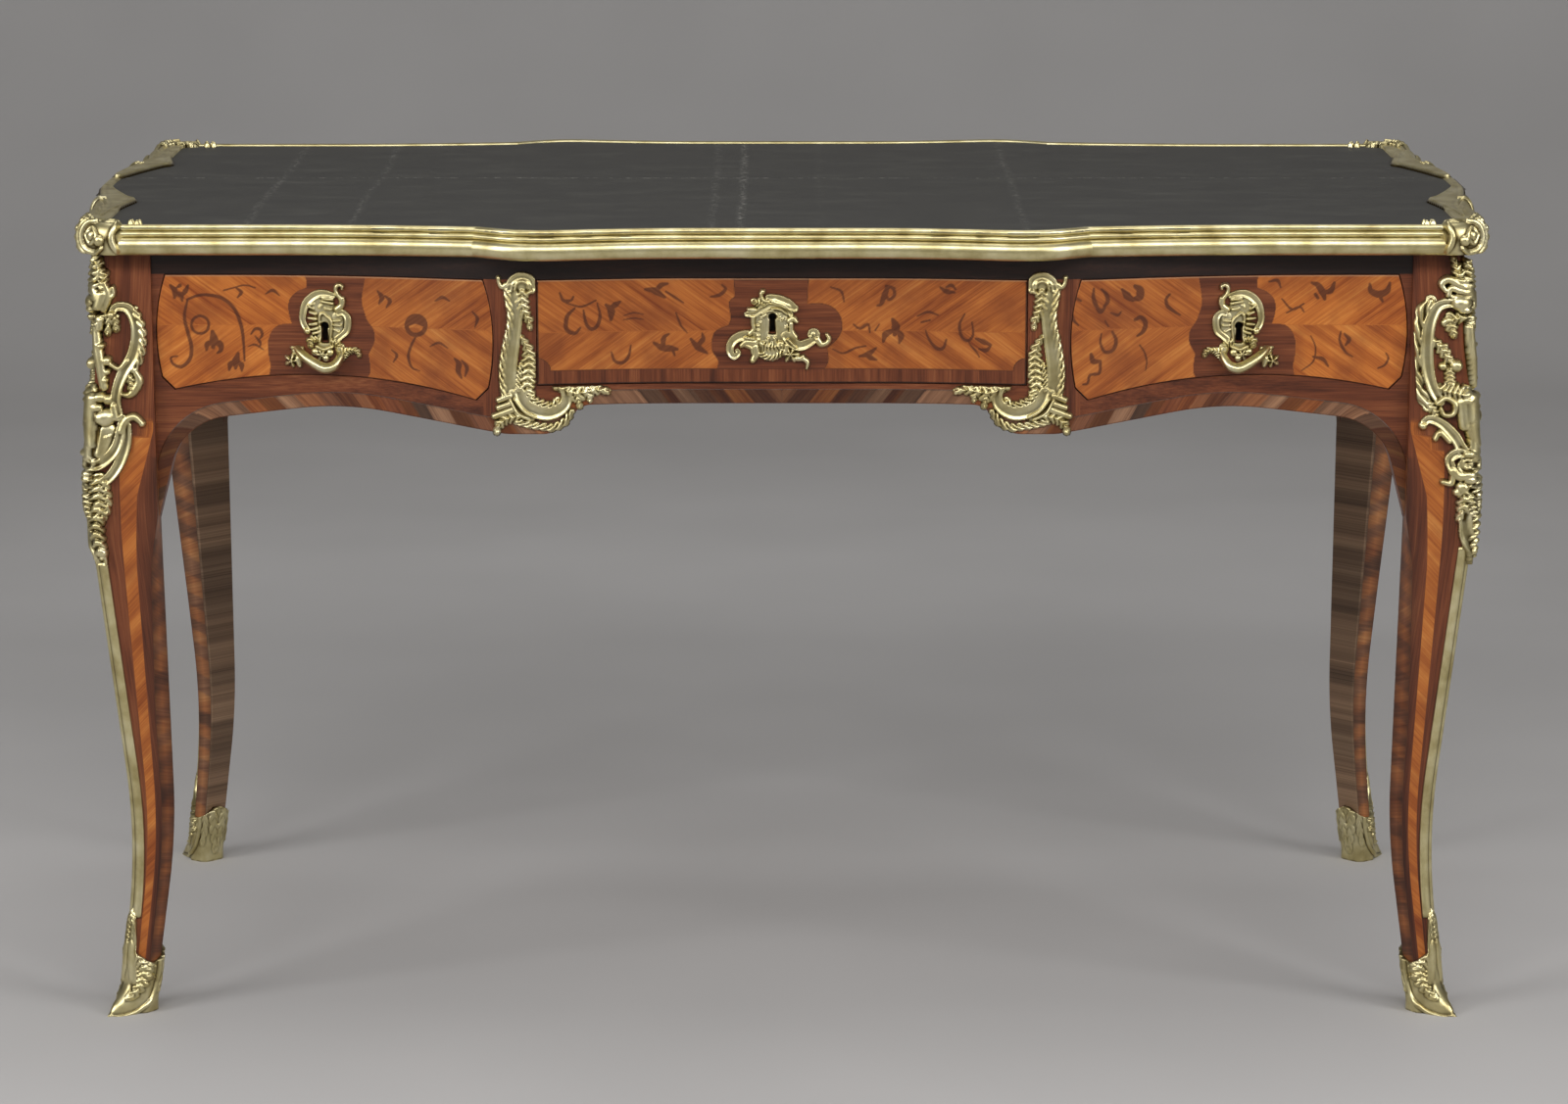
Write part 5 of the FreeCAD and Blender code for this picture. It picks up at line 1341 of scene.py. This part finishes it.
rightWing = {
    "place": ((1425, 250), 4.612, -1),
    "round": [
        ([(302, 192), (242, 160), (210, 182), (226, 212)], [4.2, 4.6, 4, 2.6], 5.6),
        ([(312, 222), (255, 200), (240, 232)], [3.8, 3.8, 3], 5.6),
        ([(318, 246), (262, 242)], [4, 3.2], 5.4), ([(345, 230), (335, 290)], [5, 4], 6),
        ([(192, 742), (230, 718), (270, 745), (262, 792), (220, 796), (206, 768)],
         [3.4, 3.4, 3.4, 3.2, 3, 2.4], 6.8), ([(300, 740), (312, 850)], [6.4, 5], 6),
        ([(335, 720), (335, 820)], [6.4, 5.4], 6.4), ([(180, 912), (202, 882), (244, 922)], [3, 3.2, 3], 5),
        ([(345, 905), (345, 1000)], 4.4, 5.6), ([(262, 1062), (292, 1086), (332, 1080)], [5, 5.2, 5], 5.6),
        ([(262, 1080), (252, 1120), (214, 1114)], [3.2, 3.6, 3], 5),
    ],
    "bead": [
        (305, 302, 4.4, 7), (215, 570, 4.4, 5.4), (276, 566, 6.4, 6.4), (122, 850, 4.2, 6.2),
        (302, 1138, 6.4, 6.4), (280, 1162, 4.4, 5.6), (332, 1102, 5, 6),
    ],
    "channel": [
        ([(300, 292), (250, 272), (192, 290), (156, 360), (142, 450), (141, 540), (152, 620), (176, 692),
         (204, 735)], [3.6, 4.6, 5.6, 6.2, 6.4, 6.4, 6.2, 5.4, 4.4], 6.5),
        ([(120, 846), (150, 820), (210, 842), (270, 900), (302, 960), (322, 1010)],
         [3.6, 4.4, 5.2, 5.8, 5.4, 4.8], 5.8),
        ([(262, 1062), (246, 1010), (282, 978), (332, 990), (350, 1032), (322, 1062), (296, 1040),
         (306, 1014)], [4.6, 4.6, 4.8, 4.8, 4.6, 4, 3.4, 2.4], 7),
        ([(312, 1270), (318, 1360), (346, 1440), (346, 1492)], [5, 5.6, 6, 4.4], 5),
    ],
    "leaf": [
        ([(322, 190), (316, 110), (318, 72)], [6, 6, 2.6], 5.5, 4),
        ([(342, 200), (344, 130)], [4.4, 3.6], 5.5, 3),
        ([(305, 338), (252, 356), (266, 425)], [4.4, 8.4, 3.6], 5, 5),
        ([(172, 448), (212, 490), (248, 545)], [3.4, 6.8, 4], 5, 4),
        ([(245, 590), (250, 650)], [5, 5.4], 5.2, 3),
        ([(200, 672), (250, 690), (312, 700)], [4.4, 9.4, 8.6], 6.2, 5),
        ([(150, 742), (186, 798)], [4.4, 5], 5, 3),
        ([(312, 1150), (312, 1220), (288, 1292)], [5.4, 7, 3], 5.4, 4),
        ([(334, 1180), (348, 1275)], [4.6, 3.4], 5.2, 4),
    ],
    "rope": [
        ([(160, 262), (116, 320), (98, 420), (92, 500), (86, 590), (108, 680), (142, 762)], 5.4, 5.2, 9),
    ],
}
chuteForm = {
    "low": (-0.050, 0.452), "high": (0.050, 0.7535), "step": 0.8 * mm, "belly": 5 * mm,
    "bellyHalf": 15 * mm,
}
spots = sheetGrid(chuteForm["low"], chuteForm["high"], chuteForm["step"])
field = np.maximum(*(heightField(spots, wing, legTracing(*wing["place"])) for wing in (leftWing, rightWing)))
belly = chuteForm["belly"] * np.exp(-(spots[..., 0] / chuteForm["bellyHalf"]) ** 2)
# the casting is thickest over the arris
field = np.where(field > 0, field + np.minimum(belly, field), field)
for corner in corners:
    castPiece(corner + ".chute", castSheet(spots, field, onLeg(corner)), "carcase", corner + "_chute")

# two fillets with a groove between them on each arris
stripForm = {"half": 9 * mm, "low": 0.095, "high": 0.470, "rise": 2.6 * mm, "grid": (31, 120)}
columns, rows = stripForm["grid"]
u = np.linspace(-stripForm["half"], stripForm["half"], columns)
z = np.linspace(stripForm["low"], stripForm["high"], rows)
spots = np.stack(np.meshgrid(u, z, indexing="ij"), 2)
share = abs(spots[..., 0]) / stripForm["half"]
field = stripForm["rise"] * (np.sqrt(np.clip(1 - ((share - 0.5) / 0.5) ** 2, 0, 1)) * 0.8 + 0.2)
field -= 80 * mm * np.clip(share - 0.97, 0, 1)       # the outermost edge is turned in
for corner in corners:
    castPiece(corner + ".fillet", castSheet(spots, field, onLeg(corner)), "carcase", "arris_fillets")


# shoes: a cup round the foot with a toe, a heel and a tongue up the arris

sabotForm = {
    "wall": 2.4 * mm, "lip": 1.5 * mm, "rim": 0.062, "dip": 0.012, "tongue": 0.108, "tongueHalf": 0.062,
    "toe": 18 * mm, "toeHigh": 0.030, "columns": 220, "rows": 130, "corner": (100, 915), "zoom": 11.61,
    "outline": [
        (0.09, 0.09), (0.18, 0), (0.72, 0), (0.86, 0.19), (1, 0.38), (1, 0.55), (0.55, 1), (0.38, 1),
        (0.19, 0.86), (0, 0.72), (0, 0.18), (0.09, 0.09),
    ],
    "round": [
        ([(470, 610), (450, 480), (490, 430), (540, 470)], [2, 2, 1.8, 1.6], 2.6),
        ([(420, 560), (420, 740), (430, 1000)], [4, 4.6, 3.6], 3),
        ([(740, 640), (740, 860), (690, 1060), (620, 1210), (500, 1340), (370, 1400)], 2.2, 3),
        ([(600, 760), (660, 700), (740, 640)], 1.8, 2.6), ([(170, 1370), (250, 1350)], [4, 5], 4.4),
        ([(760, 640), (850, 660), (960, 640)], 1.8, 2.2), ([(700, 1420), (960, 1420)], 2.2, 2),
    ],
    "bead": [
        (490, 615, 2, 2.6), (520, 665, 2, 2.6), (310, 1400, 4.4, 4.2),
    ],
    "leaf": [
        ([(400, 165), (420, 250), (440, 330), (430, 420), (415, 520)], [2.2, 4, 4.5, 4, 4], 2.6, 6),
        ([(440, 330), (500, 340), (510, 300)], [2, 3, 1.6], 2.4, 2),
        ([(440, 640), (500, 760), (540, 880), (500, 1040), (430, 1170)], [4, 6.5, 7.5, 6.5, 4], 3.6, 8),
        ([(520, 860), (600, 800), (650, 830)], [4, 4.6, 2.4], 3.2, 3),
        ([(520, 960), (600, 930), (640, 960)], [4, 4, 2], 3, 3),
        ([(900, 690), (905, 950), (900, 1250)], [4, 5.5, 3], 2.4, 4),
        ([(800, 720), (790, 900), (740, 1150)], [2.4, 3, 2], 2, 3),
    ],
}


def sabotPiece(corner, way):
    # columns run round the leg's section from the heel over the arris and back, rows from floor to rim;
    # point = section + outward normal * (wall + relief), pushed out along the diagonal at the toe
    d = sabotForm
    sx, sy = way
    unit = evenly(np.array(d["outline"]), 401)[:-1]
    soft = sum(np.roll(unit, k, 0) for k in range(-9, 10)) / 19
    tangent = np.roll(soft, -1, 0) - np.roll(soft, 1, 0)
    normal = np.stack([tangent[:, 1], -tangent[:, 0]], 1)
    normal /= np.linalg.norm(normal, axis=1)[:, None]
    length = np.linalg.norm(np.roll(unit, -1, 0) - unit, axis=1).sum()
    share = np.linspace(-0.5, 0.5, d["columns"], endpoint=False)[:, None]
    index = np.round(share[:, 0] * len(unit)).astype(int) % len(unit)
    at, out = soft[index][:, None], normal[index][:, None]
    rim = d["rim"] - d["dip"] * np.sin(2 * math.pi * share) ** 2
    rim = rim + (d["tongue"] - d["rim"]) * np.clip(1 - (share / d["tongueHalf"]) ** 2, 0, 1) ** 0.7
    z = rim * np.linspace(0, 1, d["rows"])[None, :]
    w = widthAt(np.maximum(z, legForm["foot"]))
    spots = np.stack([abs(share) * length * w, z], 2)
    field = heightField(spots, d, legTracing(d["corner"], d["zoom"], 1))
    lift = d["wall"] + np.maximum(field, 0)
    diagonal = 0.45 - at
    ahead = np.clip(diagonal.sum(2) / (np.linalg.norm(diagonal, axis=2) * math.sqrt(2)), 0, 1) ** 5
    fall = np.clip(z / d["toeHigh"], 0, 1)
    toe = d["toe"] * (1 - fall ** 2 * (3 - 2 * fall)) * ahead

    def place(lift, z, w, toe):
        lean = leanAt(np.maximum(z, legForm["foot"]))
        plan = at * w[..., None] + out * lift[..., None] - toe[..., None] / math.sqrt(2)
        x = sx * (legForm["arris"][0] + lean - plan[..., 0])
        y = sy * (legForm["arris"][1] + lean - plan[..., 1])
        return np.stack([x, y, z], 2)

    shell = place(lift, z, w, toe)
    lip = place(np.full((d["columns"], 1), -d["lip"]), z[:, -1:], w[:, -1:], toe[:, -1:])
    verts = np.concatenate([shell, lip], 1).transpose(1, 0, 2)
    # painted shade: the hollows, and the lip inside the rim fully dark
    shade = np.concatenate([np.clip(hollowShade(field), 0, 1), np.ones((d["columns"], 1))], 1).T
    rows, columns = verts.shape[:2]
    piece = putMesh(corner + ".sabot", verts.reshape(-1, 3), gridFaces(rows, columns, True), bronze,
                    endCaps(rows, columns), {"hollow": shade.ravel()})
    return settle(piece, "carcase", "gilt_bronze", corner + "_sabot")


for corner, way in corners.items():
    sabotPiece(corner, way)
print("mounts on the legs: chutes, fillets, sabots")


# corner mounts of the top: a swelling moulding with shell, strands and beads, and a flat scroll

# half, reach, flat and foot are the moulding's section in mm, inward from its line
cornerForm = {
    "last": -0.125, "columns": 330, "low": (0.630, -0.280), "high": (0.688, -0.034), "step": 1.1 * mm,
    "half": 14.5, "reach": 8, "flat": (8.6, 25), "foot": (25, 9), "thick": 1.8 * mm, "rim": 2.4 * mm,
    "rimHalf": 1.2 * mm, "rimRise": 0.9 * mm, "bed": 2.3 * mm,
    "grow": [
        (0, -6), (18, -6), (24, 1.5), (60, 3), (95, 3), (115, 1.5), (135, 3), (150, 5), (170, 3),
        (190, 1.5), (225, 1.2), (250, 1),
    ],
    "round": [
        ([(16.5, 36), (22, 34.5), (28, 24), (27.5, 16), (22.5, 9), (16.5, 7)], [2.4, 3, 3, 3, 2.4], 4),
        ([(54.6, 21.4), (48.6, 27.4), (42.6, 21.4), (48.6, 15.4), (54.6, 21.4)], 1.8, 3.5),
        ([(38, 12), (46, 8), (58, 11), (62, 21), (58, 31), (48, 34)], [1.8, 2.2, 2.4, 2.4, 2.2, 1.8], 3.6),
        ([(44, 3), (56, 3), (67, 9), (70, 21), (66, 32)], [2, 2.4, 2.6, 2.6, 2.2], 3.6),
        ([(20, 40), (30, 43), (40, 40), (50, 42), (60, 40), (72, 42)], 1.8, 2.6),
        ([(22, 45), (32, 48), (42, 45), (52, 47), (66, 45)], 1.8, 2.6),
        ([(26, 50), (36, 52), (48, 50), (60, 51)], 1.6, 2.4), ([(96, 30), (110, 28)], 3, 3),
        ([(234, 1), (234, 40)], 2.2, 2.4), ([(239, 1), (239, 40)], 2.2, 2.8),
        ([(244, 1), (244, 40)], 2.2, 2.4),
    ],
    "bead": [
        (16.5, 36, 3.4, 5), (48.6, 21.4, 4.4, 3.6), (40, 18, 4.5, 4.5), (78, 24, 3.6, 4), (82, 17, 3.6, 4),
        (76, 31, 3.4, 4), (80, 10, 3.4, 4), (12, 45, 3.4, 10), (6, 44, 3.2, 9.6), (4, 49, 3.2, 9.6),
        (11, 51, 3, 9.4), (150, 20, 8, 4.6),
    ],
    "leaf": [
        ([(62, 37), (74, 36), (88, 30)], [4, 4.6, 3], 3.6, 4),
        ([(90, 8), (100, 16), (112, 22)], [5, 6, 4], 3.6, 4),
        ([(112, 10), (124, 14), (136, 18)], [4, 5, 3.4], 3.4, 4),
        ([(160, 20), (172, 22), (186, 20)], [6, 6, 4], 3.2, 5),
    ],
    "rope": [
        ([(60, 4), (72, 6), (84, 12), (90, 24), (90, 36)], 3.6, 3.6, 8),
    ],
    "plate": [
        (0.655, -0.275), (0.650, -0.262), (0.6455, -0.225), (0.640, -0.185), (0.6345, -0.147),
        (0.6425, -0.131), (0.652, -0.105), (0.662, -0.075), (0.672, -0.042), (0.682, -0.040),
        (0.6775, -0.090), (0.668, -0.150), (0.660, -0.190), (0.659, -0.230),
    ],
}


def cornerMoulding():
    # a half ellipse with a flat on top stands square to the corner's line; its bulge and the relief grow
    # along the normal
    d = cornerForm
    bow = endLine[endLine[:, 1] < d["last"]]
    line = roundedLine(cornerPoints, [edgeForm["cornerRadius"]], 300)
    line = evenly(np.vstack([line, bow[1:]]), d["columns"])
    s = np.concatenate([[0], np.cumsum(np.linalg.norm(np.diff(line, axis=0), axis=1))])[:, None]
    grow = np.interp(s, *(np.array(d["grow"]).T * mm))
    angle = np.radians(np.linspace(-88, 88, 70))
    flat = np.linspace(*d["flat"], 34)
    inward = np.concatenate([d["reach"] - d["reach"] * np.cos(angle), flat]) * mm
    upward = np.concatenate([d["half"] + d["half"] * np.sin(angle), np.full(len(flat), 2 * d["half"])]) * mm
    t = np.concatenate([[0], np.cumsum(np.hypot(np.diff(inward), np.diff(upward)))])[None, :]
    out = np.concatenate([np.cos(angle), np.zeros(len(flat))])
    rise = np.concatenate([np.sin(angle), np.ones(len(flat))])
    spots = np.stack(np.broadcast_arrays(s, t), 2)
    field = heightField(spots, d, lambda points: np.asarray(points, dtype=float) * mm)
    lift = np.maximum(field, 0) + grow * np.where(out > 0, 1, np.where(grow < 0, 1, 0.4))
    n = inward - out * lift
    h = upward + rise * lift
    foot = np.broadcast_to(np.array(d["foot"]) * mm, (len(line), 2))
    n = np.hstack([n, foot])
    h = np.hstack([h, np.zeros((len(line), 2)) + np.maximum(-grow, 0) * 0.2])
    plan = line[:, None] + leftNormal(line)[:, None] * n[..., None]
    verts = np.concatenate([plan, edgeForm["base"] + np.maximum(h, 0.2 * mm)[..., None]], 2)
    # painted shade: the hollows, and the foot under the moulding fully dark
    shade = np.hstack([hollowShade(field), np.ones((len(line), 2))])
    rows, columns = verts.shape[:2]
    return verts.reshape(-1, 3), gridFaces(rows, columns, True), shade.ravel(), endCaps(rows, columns)


def onTop(level):
    return lambda flat, high: np.column_stack([flat, level + high])


def scrollPlate():
    # a flat plate on the top with a raised rim, as far as its outline
    d = cornerForm
    outline = smoothLine(d["plate"] + d["plate"][:1], 160)
    spots = sheetGrid(d["low"], d["high"], d["step"])
    flat = spots.reshape(-1, 2)
    gap = abs(nearest(outline, flat)[1])
    high = np.minimum(gap, d["thick"]) + d["rimRise"] * np.exp(-((gap - d["rim"]) / d["rimHalf"]) ** 2)
    field = np.where(inside(flat, outline), high, -gap).reshape(spots.shape[:2])
    return castSheet(spots, field, onTop(edgeForm["top"]), back=d["bed"])


verts, quads, shade, caps = cornerMoulding()
plateVerts, plateQuads, plateShade = scrollPlate()
for corner, (sx, sy) in corners.items():
    turn = np.array([sx, -sy, 1])
    faces = np.vstack([quads, plateQuads + len(verts)])
    piece = putMesh(corner + ".cornerMount", np.vstack([verts, plateVerts]) * turn, faces, bronze, caps,
                    {"hollow": np.concatenate([shade, plateShade])})
    settle(piece, "carcase", "gilt_bronze", corner + "_corner_mount")
print("corner mounts: four")

# leather: a flat skin as far as the middle of the bronze edge
leatherForm = {"top": 0.7815, "under": 9 * mm, "low": (-0.70, -0.39), "high": (0.70, 0.39), "step": 6 * mm}
rounding = roundedLine(cornerPoints, [edgeForm["cornerRadius"]], 100)[40:]
quarter = np.vstack([centreLine[centreLine[:, 0] > 0], flankLine, rounding, endLine[endLine[:, 1] < 0]])
half = np.vstack([quarter, (quarter * np.array([1, -1]))[::-1]])
whole = np.vstack([half, (half * np.array([-1, 1]))[::-1]])
spots = sheetGrid(leatherForm["low"], leatherForm["high"], leatherForm["step"])
flat = spots.reshape(-1, 2)
gap = abs(nearest(np.vstack([whole, whole[:1]])[::3], flat)[1])
field = np.where(inside(flat, whole) & (gap > leatherForm["under"]), 0, -sunk).reshape(spots.shape[:2])
verts, quads, shade = castSheet(spots, field, onTop(leatherForm["top"]))
settle(putMesh("leatherTop", verts, quads, leather, crease=40), "carcase", "leather", "leather")
print("leather: one skin")


# floor, light and camera

# each soft box has its place, aim, size in metres and power in watts
stageForm = {
    "wide": 9.0, "front": -8.0, "back": 3.2, "sweep": 2.0, "high": 5.0,
    "paper": [(0.3, "#b1afae"), (0.7, "#b7b5b4")], "fibre": 0.5, "air": "#d8d6d3", "airlight": 0.20,
    "boxes": {"leftBox": ((-3.7, -2.8, 2.4), (0, 0, 0.4), (1.9, 1.9), 92),
              "rightBox": ((3.7, -2.8, 2.4), (0, 0, 0.4), (1.9, 1.9), 84),
              "frontStrip": ((0, -3.5, 3.1), (0, -0.2, 0.6), (4.4, 0.9), 95),
              "overhead": ((0, 0.3, 4.2), (0, 0, 0.5), (3.0, 2.2), 45)},
}


def backdrop():
    # floor that sweeps up behind the table in a quarter circle
    s = stageForm
    angle = np.linspace(0, math.pi / 2, 24)
    curve = np.stack([s["back"] + s["sweep"] * np.sin(angle), s["sweep"] * (1 - np.cos(angle))], 1)
    line = np.vstack([[(s["front"], 0)], curve, [(s["back"] + s["sweep"], s["high"])]])
    x = np.linspace(-s["wide"], s["wide"], 2)
    verts = np.stack([np.repeat(x, len(line)), np.tile(line[:, 0], 2), np.tile(line[:, 1], 2)], 1)
    material, tree, shader = newFinish("studioPaper", {"Roughness": 0.9, "Specular IOR Level": 0.2})
    place = addNode(tree, "TexCoord").outputs["Object"]
    tone = addNode(tree, "ValToRGB", {"Fac": noise(tree, place, s["fibre"], 2.0)}, stops=s["paper"])
    tree.links.new(tone.outputs[0], shader.inputs["Base Color"])
    # the paper has one side only, so that the table can be looked at from behind it
    behind = addNode(tree, "NewGeometry").outputs["Backfacing"]
    sheer = addNode(tree, "BsdfTransparent")
    both = addNode(tree, "MixShader", {0: behind, 1: shader.outputs[0], 2: sheer})
    tree.links.new(both.outputs[0], tree.nodes["Material Output"].inputs["Surface"])
    quads = gridFaces(2, len(line))
    piece = putMesh("studioFloor", verts, quads, material)
    piece.data.flip_normals()       # face to the table


def softBox(name, place, aim, size, power):
    lamp = bpy.data.lights.new(name, "AREA")
    lamp.shape = "RECTANGLE"
    lamp.size, lamp.size_y = size
    lamp.energy = power
    holder = bpy.data.objects.new(name, lamp)
    way = np.array(aim, dtype=float) - np.array(place)
    flat = math.hypot(way[0], way[1])
    holder.rotation_euler = (math.atan2(flat, -way[2]), 0, math.atan2(-way[0], way[1]))
    holder.location = place
    bpy.context.scene.collection.objects.link(holder)


backdrop()
for name, settings in stageForm["boxes"].items():
    softBox(name, *settings)
world = bpy.data.worlds.new("studioAir")
bpy.context.scene.world = world
world.use_nodes = True
air = world.node_tree.nodes["Background"]
air.inputs["Color"].default_value = linear(stageForm["air"])
air.inputs["Strength"].default_value = stageForm["airlight"]

camera = bpy.data.objects.new("camera", bpy.data.cameras.new("camera"))
camera.data.lens = cameraForm["lens"]
camera.data.sensor_width = cameraForm["sensor"]
camera.data.clip_end = cameraForm["sight"]
camera.location = cameraForm["place"]
camera.rotation_euler = (math.radians(90 - cameraForm["pitch"]), 0, 0)
bpy.context.scene.collection.objects.link(camera)
bpy.context.scene.camera = camera
bpy.context.scene.view_settings.view_transform = "Standard"
print("stage: floor, four soft boxes, camera")
